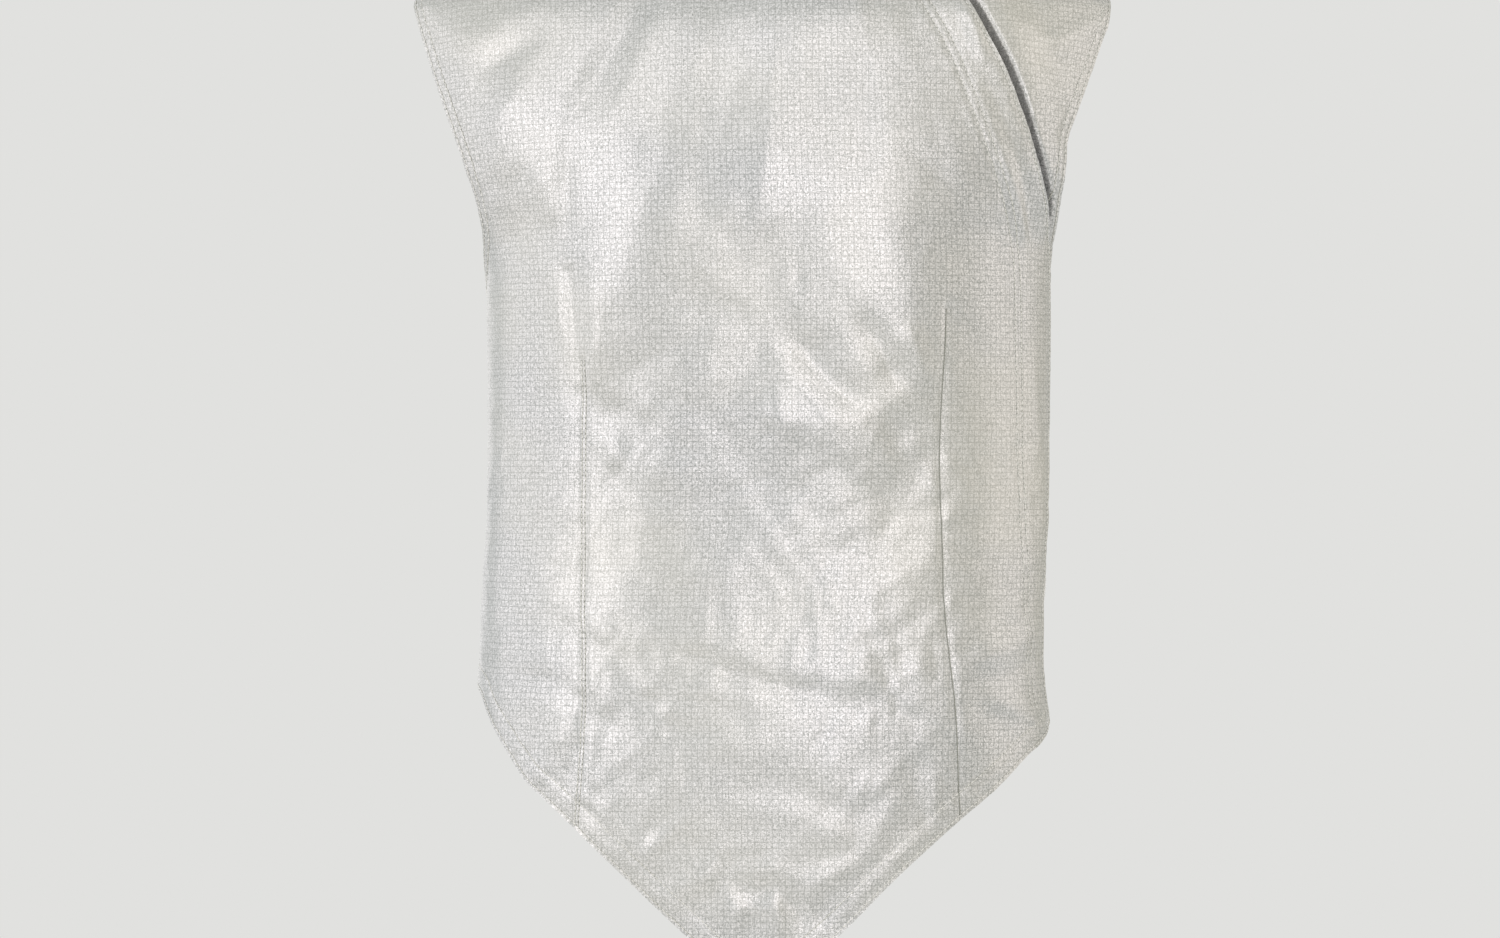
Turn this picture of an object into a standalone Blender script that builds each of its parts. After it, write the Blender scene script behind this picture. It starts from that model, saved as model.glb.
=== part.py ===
"""Sleeveless foil lame: a metallic over-vest, filled out as it is worn.

Front, back, side panel and stand collar are walls of cloth wrapped on one body form. The front
closes over the side panel with a curved flap on the wearer's left, and a zip lies under the flap.

+Z is up, the front faces -Y and +X is the wearer's left. The origin lies midway between the two
points where the shoulder seams meet the neck. Sizes are in millimetres and the meshes in metres.

A place on the form is a turn and a height z. The turn is 0 at the centre front, 1 at the
wearer's left side, 2 at the centre back and -1 or 3 at the wearer's right side.
"""

import math

import bpy
import numpy as np

METRES = 0.001

# Cloth
CLOTH = 1.5
SEAM_GAP = 0.3

# Flap, the stack beneath it and the zip
FLAP_RISE = 5.0
FLAP_FULL = 48.0
FLAP_FADE = 88.0
UNDERLAP = 45.0
ZIP_INSET = 26.0
ZIP_BOTTOM_Z = -502.0
TAPE_TOP_Z = -42.0
TAPE_LIFT = 2.0
TAPE_THICK = 1.0
TAPE_WIDTH = 12.0
CHAIN_TOP_Z = -68.0
CHAIN_WIDTH = 3.0
CHAIN_THICK = 2.3
SLIDER_LIFT = TAPE_LIFT + TAPE_THICK + SEAM_GAP
SLIDER_TOP_Z = -58.0
SLIDER_WIDTH = 8.0
SLIDER_THICK = 1.3
TAB_TOP_Z = -45.0
TAB_WIDTH = 4.0
TAB_THICK = 1.0

# Collar
COLLAR_HEIGHT = 46.0
COLLAR_LEVELLING = 0.22
COLLAR_LEAN = 0.16
COLLAR_BEND = 2.5
COLLAR_LAP = 2.2
COLLAR_STATIONS = (0.0, 0.035, 0.09, 0.2, 0.44, 0.72, 1.0)

# Seams
SHOULDER_TIP_Z = -50.5
SIDE_SEAM_TURN = 1.04
UNDERARM_Z = -238.0

# The form under the cloth, a section at each height
FORM_COLUMNS = ("z", "centre", "half_width", "front", "back", "squareness")
FORM_TABLE = (
    (-720, -1, 168, 102, 104, 2.30),
    (-650, -1, 176, 109, 108, 2.35),
    (-580, -1.5, 181, 114, 109, 2.40),
    (-510, -2, 181.5, 116, 107, 2.40),
    (-450, -1, 180.5, 114, 101, 2.40),
    (-390, 2, 180, 114, 99, 2.35),
    (-330, 3, 180, 118, 104, 2.35),
    (-270, 3, 180.5, 123, 112, 2.30),
    (-235, 3, 181.5, 125, 117, 2.30),
    (-215, 2.5, 185, 125, 119, 2.25),
    (-200, 2, 192, 125, 120, 2.20),
    (-180, 1.5, 203, 124, 120, 2.20),
    (-165, 1, 211, 123, 119, 2.20),
    (-145, 0.5, 219, 121, 117, 2.20),
    (-125, 0, 225, 118, 114, 2.15),
    (-100, 0, 229, 112, 108, 2.10),
    (-75, 0, 232, 103, 99, 2.05),
    (-60, 0, 230.5, 95, 92, 2.02),
    (-50, 0, 221.5, 88, 87, 2.00),
    (-40, 0, 193, 79, 81, 2.00),
    (-25, 0, 150, 68, 71, 2.00),
    (-10, 0, 104, 60, 61, 2.00),
    (0, 0, 75, 54, 53, 2.00),
    (15, 0, 50, 44, 42, 2.00),
)

# Outlines, drafted on the form as rows of turn and z. Turns on the back count from its centre.
NECK_FRONT_RIGHT = ((-1.0, 0), (-0.72, -4.5), (-0.45, -14), (-0.205, -31), (-0.1, -37), (0, -40))
NECK_FRONT_LEFT = ((0, -40), (0.1, -37), (0.205, -31), (0.28, -25), (0.45, -14), (0.66, -6))
NECK_UNDER = ((0.28, -25), (0.45, -14), (0.66, -6), (1.0, 0))
NECK_BACK = ((-1.0, 0), (-0.6, -4.5), (-0.3, -12), (0, -16), (0.3, -12), (0.6, -4.5), (1.0, 0))
FLAP_EDGE = (
    (0.66, -6),
    (0.567, -18),
    (0.505, -32),
    (0.475, -45),
    (0.475, -58),
    (0.497, -74),
    (0.551, -105),
    (0.601, -138),
    (0.659, -166),
    (0.754, -197),
    (0.815, -220),
    (0.84, -252),
    (0.843, -400),
    (0.845, -488),
    (0.90, -521),
)
ARMHOLE_RIGHT_FRONT = (
    (-1.0, -50.5),
    (-0.955, -53),
    (-0.91, -60.5),
    (-0.863, -76),
    (-0.815, -105),
    (-0.776, -132),
    (-0.762, -158),
    (-0.779, -184),
    (-0.819, -202),
    (-0.87, -214),
    (-0.93, -226),
    (-0.985, -233.5),
    (-1.04, -238),
)
ARMHOLE_LEFT_FRONT = (
    (1.0, -50.5),
    (0.95, -53),
    (0.90, -61),
    (0.864, -73),
    (0.806, -105),
    (0.764, -130),
    (0.741, -158),
    (0.760, -180),
    (0.815, -199),
    (0.87, -214),
    (0.93, -228),
    (0.985, -235.5),
    (1.04, -238),
)
ARMHOLE_BACK = (
    (1.0, -50.5),
    (0.96, -52.5),
    (0.91, -60),
    (0.855, -80),
    (0.805, -106),
    (0.765, -138),
    (0.758, -168),
    (0.785, -196),
    (0.83, -218),
    (0.89, -234),
    (0.96, -238),
)
HEM_FRONT_RIGHT = (
    (-1.04, -497),
    (-0.95, -498.5),
    (-0.868, -503),
    (-0.803, -517),
    (-0.724, -535),
    (-0.652, -553.5),
    (-0.530, -578),
    (-0.318, -626.5),
    (-0.105, -675),
    (-0.055, -686),
    (-0.008, -690),
)
HEM_FRONT_LEFT = (
    (-0.008, -690),
    (0.04, -686),
    (0.09, -676),
    (0.208, -652.5),
    (0.368, -614),
    (0.53, -580),
    (0.62, -563),
    (0.735, -541),
    (0.82, -532),
    (0.90, -521),
)
HEM_UNDER = ((0.66, -514), (0.88, -508), (1.04, -503))
HEM_BACK = ((-0.96, -503), (-0.5, -495), (0, -492), (0.5, -494), (0.96, -497))

# Fullness and folds: soft ridges (rise above 0) and troughs, each along a line. The columns are
# start_across, start_z, end_across, end_z, half_width and rise. Across is the girth distance from
# the panel's centre.
FRONT_FOLDS = (
    (-84, -205, -92, -265, 46, 5.5),
    (84, -195, 96, -262, 48, 6.0),
    (-12, -95, -10, -330, 34, -3.2),
    (-128, -235, -122, -310, 9, -3.4),
    (-62, -62, -92, -150, 15, 2.4),
    (-24, -60, -40, -190, 12, -2.2),
    (150, -120, 176, -330, 15, 2.2),
    (-205, -85, -150, -66, 10, 2.2),
    (-190, -120, -160, -84, 9, -2.4),
    (-182, -182, -162, -118, 11, 2.6),
    (-48, -476, 92, -518, 11, -3.4),
    (-112, -452, 64, -486, 14, 2.6),
    (-114, -512, -12, -516, 10, -2.6),
    (-196, -486, -124, -500, 11, -2.8),
    (-122, -520, -156, -560, 10, 2.6),
    (-112, -422, -30, -398, 13, -2.4),
    (-112, -318, -58, -345, 12, -2.2),
    (34, -282, 82, -332, 12, -2.8),
    (150, -486, 204, -520, 12, -3.0),
    (-30, -600, 40, -640, 13, -2.4),
    (-60, -628, -28, -600, 9, 2.2),
)
BACK_FOLDS = (
    (-84, -120, -88, -200, 50, 4.0),
    (84, -120, 88, -200, 50, 4.0),
    (0, -90, 0, -300, 30, -2.6),
    (-150, -400, 30, -428, 14, -3.2),
    (-20, -372, 150, -392, 13, 2.8),
    (40, -446, 176, -430, 12, -2.8),
    (-190, -150, -130, -190, 12, 2.6),
    (190, -150, 128, -196, 12, -2.6),
    (-110, -250, -60, -350, 14, 2.4),
    (100, -262, 66, -340, 15, -2.4),
)
UNDER_FOLDS = (
    (196, -84, 236, -70, 9, 1.8),
    (182, -140, 214, -150, 10, -1.6),
    (215, -300, 262, -330, 13, -2.2),
    (225, -430, 270, -452, 12, 2.0),
)

# Grid counts
FRONT_SEAM_COLUMNS = 15
FRONT_NECK_COLUMNS = (15, 14)
FRONT_HEM_COLUMNS = (23, 21)
FRONT_ARMHOLE_ROWS = 15
FRONT_SIDE_ROWS = 27
BACK_SEAM_COLUMNS = 9
BACK_NECK_COLUMNS = 12
BACK_ARMHOLE_ROWS = 15
BACK_SIDE_ROWS = 13
UNDER_NECK_COLUMNS = 4
UNDER_SEAM_COLUMNS = 9
ZIP_ROWS = 40
ARC_STEPS = 160
FLAP_STEPS = 160
HIDDEN_EDGE_STEPS = 60

# How fast the shape of the top and bottom borders fades inside a panel's grid
BORDER_HOLD = 2.8

# Small steps round the form and down it, between which its direction is measured
TURN_STEP = 0.012
Z_STEP = 1.5

# Edges that turn more than this stay crisp in shading
CRISP_ANGLE = math.radians(50)


def smooth_rows(x, knots, values):
    """Monotone cubic through the knots, so that no bulge appears between two rows."""
    steps = np.diff(knots)
    slopes = np.diff(values) / steps
    product = slopes[:-1] * slopes[1:]
    total = slopes[:-1] + slopes[1:]
    tangents = np.empty(len(knots))
    tangents[0], tangents[-1] = slopes[0], slopes[-1]
    tangents[1:-1] = np.where(product > 0, 2 * product / np.where(total == 0, 1, total), 0)
    i = np.clip(np.searchsorted(knots, x) - 1, 0, len(knots) - 2)
    t = (x - knots[i]) / steps[i]
    start = (2 * t**3 - 3 * t**2 + 1) * values[i] + (t**3 - 2 * t**2 + t) * steps[i] * tangents[i]
    end = (3 * t**2 - 2 * t**3) * values[i + 1] + (t**3 - t**2) * steps[i] * tangents[i + 1]
    return start + end


def form_sizes(z):
    """Centre, half width, front depth, back depth and squareness of the form at each z."""
    rows = np.array(FORM_TABLE, float)
    return [smooth_rows(z, rows[:, 0], rows[:, k]) for k in range(1, len(FORM_COLUMNS))]


def quarter_outline(half_width, depth, squareness):
    """Points and running lengths of a quarter section, from its centre to its side."""
    angle = np.linspace(0, math.pi / 2, ARC_STEPS)
    power = 2 / squareness[:, None]
    x = half_width[:, None] * np.sin(angle) ** power
    y = depth[:, None] * np.abs(np.cos(angle)) ** power
    steps = np.hypot(np.diff(x, axis=1), np.diff(y, axis=1))
    lengths = np.concatenate([np.zeros((len(x), 1)), np.cumsum(steps, axis=1)], axis=1)
    return x, y, lengths


def quarter_lengths(z):
    """Length of the front quarter and of the back quarter of the section at each z."""
    half_width, front, back, squareness = form_sizes(z)[1:]
    return [quarter_outline(half_width, depth, squareness)[2][:, -1] for depth in (front, back)]


def form_points(turn, z):
    """Points of the form at each turn and z."""
    turn = (turn + 2) % 4 - 2
    centre, half_width, front, back, squareness = form_sizes(z)
    on_front = np.abs(turn) <= 1
    fraction = np.where(on_front, np.abs(turn), 2 - np.abs(turn))
    x, y, lengths = quarter_outline(half_width, np.where(on_front, front, back), squareness)
    wanted = fraction * lengths[:, -1]
    low = np.clip((lengths < wanted[:, None]).sum(axis=1) - 1, 0, ARC_STEPS - 2)
    row = np.arange(len(z))
    share = (wanted - lengths[row, low]) / (lengths[row, low + 1] - lengths[row, low])
    x = x[row, low] + share * (x[row, low + 1] - x[row, low])
    y = y[row, low] + share * (y[row, low + 1] - y[row, low])
    return np.stack([centre + np.sign(turn) * x, np.where(on_front, -y, y), z], axis=1)


def form_normals(turn, z):
    """Outward unit normals of the form, from small steps round it and down it."""
    along = form_points(turn + TURN_STEP, z) - form_points(turn - TURN_STEP, z)
    down = form_points(turn, z - Z_STEP) - form_points(turn, z + Z_STEP)
    normals = np.cross(down, along)
    return normals / np.linalg.norm(normals, axis=1)[:, None]


def to_across(turn, z, on_back=False):
    """Girth distance from a panel's centre line, for turns that are counted from that line."""
    near, far = quarter_lengths(z)[:: -1 if on_back else 1]
    size = np.abs(turn)
    return np.sign(turn) * np.where(size <= 1, size * near, near + (size - 1) * far)


def to_turn(across, z, on_back=False):
    """Turn on the form for a girth distance from a panel's centre line."""
    near, far = quarter_lengths(z)[:: -1 if on_back else 1]
    size = np.abs(across)
    turn = np.sign(across) * np.where(size <= near, size / near, 1 + (size - near) / far)
    return turn + 2 if on_back else turn


def rounded_line(points, count):
    """A smooth curve through the points, cut into equal lengths."""
    points = np.array(points, float)
    gaps = np.sqrt(np.linalg.norm(np.diff(points, axis=0), axis=1))
    knots = np.concatenate([[0], np.cumsum(gaps)])
    tangents = np.gradient(points, knots, axis=0)
    t = np.linspace(0, knots[-1], 40 * len(points))
    i = np.clip(np.searchsorted(knots, t) - 1, 0, len(knots) - 2)
    span = (knots[i + 1] - knots[i])[:, None]
    u = ((t - knots[i]) / span[:, 0])[:, None]
    fine = (2 * u**3 - 3 * u**2 + 1) * points[i] + (u**3 - 2 * u**2 + u) * span * tangents[i]
    fine += (3 * u**2 - 2 * u**3) * points[i + 1] + (u**3 - u**2) * span * tangents[i + 1]
    lengths = np.concatenate([[0], np.cumsum(np.linalg.norm(np.diff(fine, axis=0), axis=1))])
    wanted = np.linspace(0, lengths[-1], count + 1)
    return np.stack([np.interp(wanted, lengths, fine[:, k]) for k in range(2)], axis=1)


def outline(rows, count, on_back=False):
    """An outline table as an even line of girth distances and heights."""
    rows = np.array(rows, float)
    across = to_across(rows[:, 0], rows[:, 1], on_back)
    return rounded_line(np.stack([across, rows[:, 1]], axis=1), count)


def joined(*lines):
    """Lines that meet end to end, as one."""
    return np.concatenate([lines[0]] + [line[1:] for line in lines[1:]])


def shoulder_seam(side, start_z, end_z, count, on_back=False):
    """The seam along the top of a shoulder, half a seam gap inside the panel."""
    z = np.linspace(start_z, end_z, count + 1)
    x = form_sizes(z)[1]
    lengths = np.concatenate([[0], np.cumsum(np.hypot(np.diff(x), np.diff(z)))])
    z = np.interp(np.linspace(0, lengths[-1], count + 1), lengths, z)
    across = to_across(np.ones_like(z), z, on_back) - SEAM_GAP / 2
    return np.stack([side * across, z], axis=1)


def side_seam(side, bottom_z, count, on_back=False):
    """The seam down a side from the underarm, half a seam gap inside the panel."""
    z = np.linspace(UNDERARM_Z, bottom_z, count + 1)
    turn = 2 - SIDE_SEAM_TURN if on_back else SIDE_SEAM_TURN
    across = to_across(np.full_like(z, turn), z, on_back) - SEAM_GAP / 2
    return np.stack([side * across, z], axis=1)


def filled(top, bottom, left, right):
    """The grid between four border lines that share their corners."""
    columns = np.linspace(0, 1, len(top))[None, :, None]
    rows = np.linspace(0, 1, len(left))[:, None, None]
    across = (1 - columns) * left[:, None] + columns * right[:, None]
    top_shape = top[None] - (1 - columns) * top[0] - columns * top[-1]
    bottom_shape = bottom[None] - (1 - columns) * bottom[0] - columns * bottom[-1]
    return across + (1 - rows) ** BORDER_HOLD * top_shape + rows**BORDER_HOLD * bottom_shape


def fold_rise(across, z, folds):
    """Height of the folds over the plain cloth at each place."""
    rise = np.zeros_like(across)
    for start_across, start_z, end_across, end_z, half_width, height in folds:
        run = np.array([end_across - start_across, end_z - start_z], float)
        length = np.hypot(*run)
        along = ((across - start_across) * run[0] + (z - start_z) * run[1]) / length
        beside = ((across - start_across) * run[1] - (z - start_z) * run[0]) / length
        beyond = np.maximum(np.maximum(-along, along - length), 0)
        rise += height * np.exp(-(beside**2 + beyond**2) / half_width**2)
    return rise


def flap_line(count):
    """The flap's edge from the collar down to the hem."""
    return outline(FLAP_EDGE, count)


def flap_rise(across, z):
    """How far the flap lies off the form, fading out away from its edge."""
    edge = flap_line(FLAP_STEPS)
    distance = np.sqrt((across[..., None] - edge[:, 0]) ** 2 + (z[..., None] - edge[:, 1]) ** 2)
    share = np.clip((FLAP_FADE - distance.min(axis=-1)) / (FLAP_FADE - FLAP_FULL), 0, 1)
    return FLAP_RISE * share**2 * (3 - 2 * share)


def inside_flap(inset, z):
    """Girth distance of the line that runs this far inside the flap's edge, at each z."""
    edge = flap_line(FLAP_STEPS)
    step = np.gradient(edge, axis=0)
    inward = np.stack([step[:, 1], -step[:, 0]], axis=1) / np.linalg.norm(step, axis=1)[:, None]
    line = edge + inset * inward
    order = np.argsort(-line[:, 1], kind="stable")
    return np.interp(-z, -line[order, 1], line[order, 0])


def draft_front():
    """Border lines of the front, from the wearer's right shoulder round to the flap."""
    seam = shoulder_seam(-1, SHOULDER_TIP_Z, 0, FRONT_SEAM_COLUMNS)
    neck_right = outline(NECK_FRONT_RIGHT, FRONT_NECK_COLUMNS[0])
    neck_left = outline(NECK_FRONT_LEFT, FRONT_NECK_COLUMNS[1])
    armhole = outline(ARMHOLE_RIGHT_FRONT, FRONT_ARMHOLE_ROWS)
    hem_right = outline(HEM_FRONT_RIGHT, FRONT_HEM_COLUMNS[0])
    hem_left = outline(HEM_FRONT_LEFT, FRONT_HEM_COLUMNS[1])
    side = side_seam(-1, HEM_FRONT_RIGHT[0][1], FRONT_SIDE_ROWS)
    neck_right[0] = seam[-1]
    armhole[0], armhole[-1] = seam[0], side[0]
    hem_right[0] = side[-1]
    left = joined(armhole, side)
    right = flap_line(len(left) - 1)
    return filled(joined(seam, neck_right, neck_left), joined(hem_right, hem_left), left, right)


def draft_back():
    """Border lines of the back, from the wearer's left to the right."""
    seam_left = shoulder_seam(-1, SHOULDER_TIP_Z, 0, BACK_SEAM_COLUMNS, True)
    seam_right = shoulder_seam(1, 0, SHOULDER_TIP_Z, BACK_SEAM_COLUMNS, True)
    neck = outline(NECK_BACK, BACK_NECK_COLUMNS, True)
    neck[0], neck[-1] = seam_left[-1], seam_right[0]
    hem = outline(HEM_BACK, len(seam_left) + len(seam_right) + len(neck) - 3, True)
    sides = []
    for side, corner, tip in ((-1, hem[0], seam_left[0]), (1, hem[-1], seam_right[-1])):
        armhole = outline([(side * turn, z) for turn, z in ARMHOLE_BACK], BACK_ARMHOLE_ROWS, True)
        seam = side_seam(side, corner[1], BACK_SIDE_ROWS, True)
        armhole[0], armhole[-1] = tip, seam[0]
        corner[:] = seam[-1]
        sides.append(joined(armhole, seam))
    return filled(joined(seam_left, neck, seam_right), hem, *sides)


def draft_under():
    """Border lines of the side panel, from its edge under the flap to the side seam."""
    neck = outline(NECK_UNDER, UNDER_NECK_COLUMNS)
    seam = shoulder_seam(1, 0, SHOULDER_TIP_Z, UNDER_SEAM_COLUMNS)
    neck[-1] = seam[0]
    armhole = outline(ARMHOLE_LEFT_FRONT, BACK_ARMHOLE_ROWS)
    side = side_seam(1, HEM_UNDER[-1][1], BACK_SIDE_ROWS)
    armhole[0], armhole[-1] = seam[-1], side[0]
    hem = outline(HEM_UNDER, UNDER_NECK_COLUMNS + UNDER_SEAM_COLUMNS)
    z = np.linspace(NECK_UNDER[0][1], HEM_UNDER[0][1], HIDDEN_EDGE_STEPS)
    hidden = np.stack([inside_flap(UNDERLAP, z), z], axis=1)
    hidden[0] = neck[0]
    hidden = rounded_line(hidden, BACK_ARMHOLE_ROWS + BACK_SIDE_ROWS)
    hem[0], hem[-1] = hidden[-1], side[-1]
    return filled(joined(neck, seam), hem, hidden, joined(armhole, side))


def wrapped(draft, lift, on_back=False):
    """Points and outward directions of a drafted grid on the form, at a lift off it."""
    across, z = draft[..., 0].ravel(), draft[..., 1].ravel()
    turn = to_turn(across, z, on_back)
    normals = form_normals(turn, z)
    points = form_points(turn, z) + normals * lift.ravel()[:, None]
    shape = draft.shape[:2] + (3,)
    return points.reshape(shape), normals.reshape(shape)


def wall_object(name, inner, outer, look):
    """A closed wall between two grids of points, whose rows run down and columns leftwards."""
    rows, columns = inner.shape[:2]
    index = np.arange(rows * columns).reshape(rows, columns)
    other = index + rows * columns
    quads = np.stack([index[:-1, :-1], index[1:, :-1], index[1:, 1:], index[:-1, 1:]], axis=-1)
    quads = quads.reshape(-1, 4)
    faces = quads.tolist() + (quads[:, ::-1] + rows * columns).tolist()
    rim = np.concatenate([index[:-1, 0], index[-1, :-1], index[:0:-1, -1], index[0, :0:-1]])
    under = np.concatenate([other[:-1, 0], other[-1, :-1], other[:0:-1, -1], other[0, :0:-1]])
    next_rim, next_under = np.roll(rim, -1), np.roll(under, -1)
    faces += np.stack([rim, under, next_under, next_rim], axis=1).tolist()
    points = np.concatenate([outer.reshape(-1, 3), inner.reshape(-1, 3)]) * METRES
    mesh = bpy.data.meshes.new(name)
    mesh.from_pydata(points.tolist(), [], faces)
    mesh.shade_smooth()
    mesh.set_sharp_from_angle(angle=CRISP_ANGLE)
    mesh.materials.append(look)
    piece = bpy.data.objects.new(name, mesh)
    bpy.context.scene.collection.objects.link(piece)
    return piece


def material(name, colour, roughness, metallic):
    """A plain material for one kind of cloth, tape or metal."""
    made = bpy.data.materials.new(name)
    made.use_nodes = True
    shader = made.node_tree.nodes["Principled BSDF"]
    shader.inputs["Base Color"].default_value = (*colour, 1)
    shader.inputs["Roughness"].default_value = roughness
    shader.inputs["Metallic"].default_value = metallic
    return made


def cloth_wall(name, draft, lift, colour, on_back=False):
    """A panel: its wall, and the inner points and directions for what joins it."""
    inner, normals = wrapped(draft, lift, on_back)
    wall_object(name, inner, inner + normals * CLOTH, colour)
    return inner, normals


def build_front(silver):
    draft = draft_front()
    across, z = draft[..., 0], draft[..., 1]
    flap = flap_rise(across, z)
    folds = fold_rise(across, z, FRONT_FOLDS) * (1 - flap / FLAP_RISE)
    return cloth_wall("front_panel", draft, flap + folds, silver)


def build_back(silver):
    draft = draft_back()
    folds = fold_rise(draft[..., 0], draft[..., 1], BACK_FOLDS)
    return cloth_wall("back_panel", draft, folds, silver, True)


def build_under(silver):
    draft = draft_under()
    across, z = draft[..., 0], draft[..., 1]
    covered = flap_rise(across, z) / FLAP_RISE
    edge = flap_line(FLAP_STEPS)
    outside = across > np.interp(-z, -edge[:, 1], edge[:, 0])
    folds = fold_rise(across, z, UNDER_FOLDS) * np.where(outside, 1, 1 - covered)
    return cloth_wall("side_panel", draft, folds, silver)


def strip_object(name, inset, z, half_width, lift, thickness, colour):
    """A strip that follows the flap's edge at an inset, as wide and thick as each row says."""
    middle = inside_flap(inset, z)
    half_width = np.broadcast_to(half_width, z.shape)
    draft = np.stack(
        [
            np.stack([middle - half_width, z], axis=1),
            np.stack([middle + half_width, z], axis=1),
        ],
        axis=1,
    )
    inner, normals = wrapped(draft, np.full(draft.shape[:2], lift))
    wall_object(name, inner, inner + normals * np.reshape(thickness, (-1, 1, 1)), colour)


def build_zip(tape_colour, metal):
    """The zip under the flap: two tapes, the closed chain and the slider with its tab."""
    z = np.linspace(TAPE_TOP_Z, ZIP_BOTTOM_Z, ZIP_ROWS)
    tape_inset = CHAIN_WIDTH / 2 + SEAM_GAP + TAPE_WIDTH / 2
    for name, side in (("zip_tape_side", -1), ("zip_tape_front", 1)):
        inset = ZIP_INSET + side * tape_inset
        strip_object(name, inset, z, TAPE_WIDTH / 2, TAPE_LIFT, TAPE_THICK, tape_colour)
    z = np.linspace(CHAIN_TOP_Z, ZIP_BOTTOM_Z, ZIP_ROWS)
    strip_object("zip_chain", ZIP_INSET, z, CHAIN_WIDTH / 2, TAPE_LIFT, CHAIN_THICK, metal)
    z = np.array([TAB_TOP_Z, SLIDER_TOP_Z, SLIDER_TOP_Z - 1, CHAIN_TOP_Z + SEAM_GAP])
    half_width = np.array([TAB_WIDTH, TAB_WIDTH, SLIDER_WIDTH, SLIDER_WIDTH]) / 2
    thickness = (TAB_THICK, TAB_THICK, SLIDER_THICK, SLIDER_THICK)
    strip_object("zip_slider", ZIP_INSET, z, half_width, SLIDER_LIFT, thickness, metal)


def unit(vectors):
    return vectors / np.linalg.norm(vectors, axis=-1, keepdims=True)


def neck_stations(panel, first, last):
    """Inner edge points, outward directions and steps into the neck along a panel's edge."""
    inner, normals = panel
    edge = inner[0, first : last + 1]
    along = unit(np.gradient(edge, axis=0))
    step = edge - inner[1, first : last + 1]
    step -= (step * along).sum(axis=1)[:, None] * along
    return np.stack([edge, normals[0, first : last + 1], unit(step)])


def sewn_round(lines):
    """Neck stations of several panels as one line, with one station where two panels meet."""
    whole = lines[0]
    for line in lines[1:]:
        middle = (whole[:, -1:] + line[:, :1]) / 2
        whole = np.concatenate([whole[:, :-1], middle, line[:, 1:]], axis=1)
    return whole


def build_collar(front, back, under, silver):
    """A stand collar from the side panel's hidden edge round the back and front to the flap."""
    front_last = FRONT_SEAM_COLUMNS + sum(FRONT_NECK_COLUMNS)
    lines = [
        neck_stations(under, 0, UNDER_NECK_COLUMNS),
        neck_stations(back, BACK_SEAM_COLUMNS, BACK_SEAM_COLUMNS + BACK_NECK_COLUMNS),
        neck_stations(front, FRONT_SEAM_COLUMNS, front_last),
    ]
    edge, outward, step = sewn_round(lines)
    outward, step = unit(outward), unit(step)
    lapped = np.zeros(len(edge))
    lapped[-FRONT_NECK_COLUMNS[1] :] = np.linspace(0, 1, FRONT_NECK_COLUMNS[1])
    radial = edge * (1, 1, 0) - edge.mean(axis=0) * (1, 1, 0)
    radial = unit(radial)
    up = unit(np.array([0, 0, 1.0]) - COLLAR_LEAN * radial)
    standing = unit(radial - (radial * up).sum(axis=1)[:, None] * up)
    base = edge + SEAM_GAP * step
    full_height = COLLAR_HEIGHT - COLLAR_LEVELLING * (edge[:, 2] - edge[:, 2].min())
    inner, outer = [], []
    for share in COLLAR_STATIONS[::-1]:
        height = (share * full_height)[:, None]
        turned = 1 - np.exp(-height / COLLAR_BEND)
        level = base + step * COLLAR_BEND * turned + up * (height - COLLAR_BEND * turned)
        level += standing * COLLAR_LAP * turned * np.sqrt(lapped)[:, None]
        inner.append(level)
        outer.append(level + CLOTH * unit(outward * (1 - turned) + standing * turned))
    wall_object("collar", np.array(inner), np.array(outer), silver)


def main():
    for old in list(bpy.data.objects):
        bpy.data.objects.remove(old, do_unlink=True)
    silver = material("silver_lame", (0.60, 0.61, 0.58), 0.42, 0.75)
    front = build_front(silver)
    back = build_back(silver)
    under = build_under(silver)
    build_collar(front, back, under, silver)
    tape = material("zip_tape", (0.55, 0.56, 0.56), 0.80, 0.0)
    metal = material("zip_metal", (0.45, 0.45, 0.44), 0.40, 1.0)
    build_zip(tape, metal)


main()
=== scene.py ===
# %% [markdown]
# # A foil lame
#
# A foil lame is the sleeveless vest of foil fencing. Its cloth is woven with metal thread, so that
# an electric box can tell when a blade touches it. The whole look rests on that cloth: a pale silver
# satin that shows every small fold.
#
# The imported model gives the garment's pieces as plain walls. This lesson lays a fine shell over
# each wall, gives it the folds, seams and stitches of the real one, and weaves its cloth out of
# shader nodes.

import math

import bpy
import numpy as np
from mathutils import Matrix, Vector, noise


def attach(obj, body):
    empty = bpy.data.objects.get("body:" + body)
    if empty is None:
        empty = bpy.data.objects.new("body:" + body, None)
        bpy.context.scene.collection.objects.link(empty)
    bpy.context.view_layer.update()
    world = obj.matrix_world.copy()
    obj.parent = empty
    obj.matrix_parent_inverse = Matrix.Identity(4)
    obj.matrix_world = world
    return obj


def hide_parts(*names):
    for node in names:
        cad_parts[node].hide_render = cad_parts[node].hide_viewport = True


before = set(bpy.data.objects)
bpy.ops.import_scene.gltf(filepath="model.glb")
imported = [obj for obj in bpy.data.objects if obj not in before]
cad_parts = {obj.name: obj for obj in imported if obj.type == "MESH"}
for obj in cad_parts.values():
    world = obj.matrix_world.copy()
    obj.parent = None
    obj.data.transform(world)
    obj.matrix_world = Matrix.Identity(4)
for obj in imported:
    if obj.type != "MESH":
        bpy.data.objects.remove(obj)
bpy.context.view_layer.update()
print("packed nodes:", ", ".join(sorted(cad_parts)))

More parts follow.
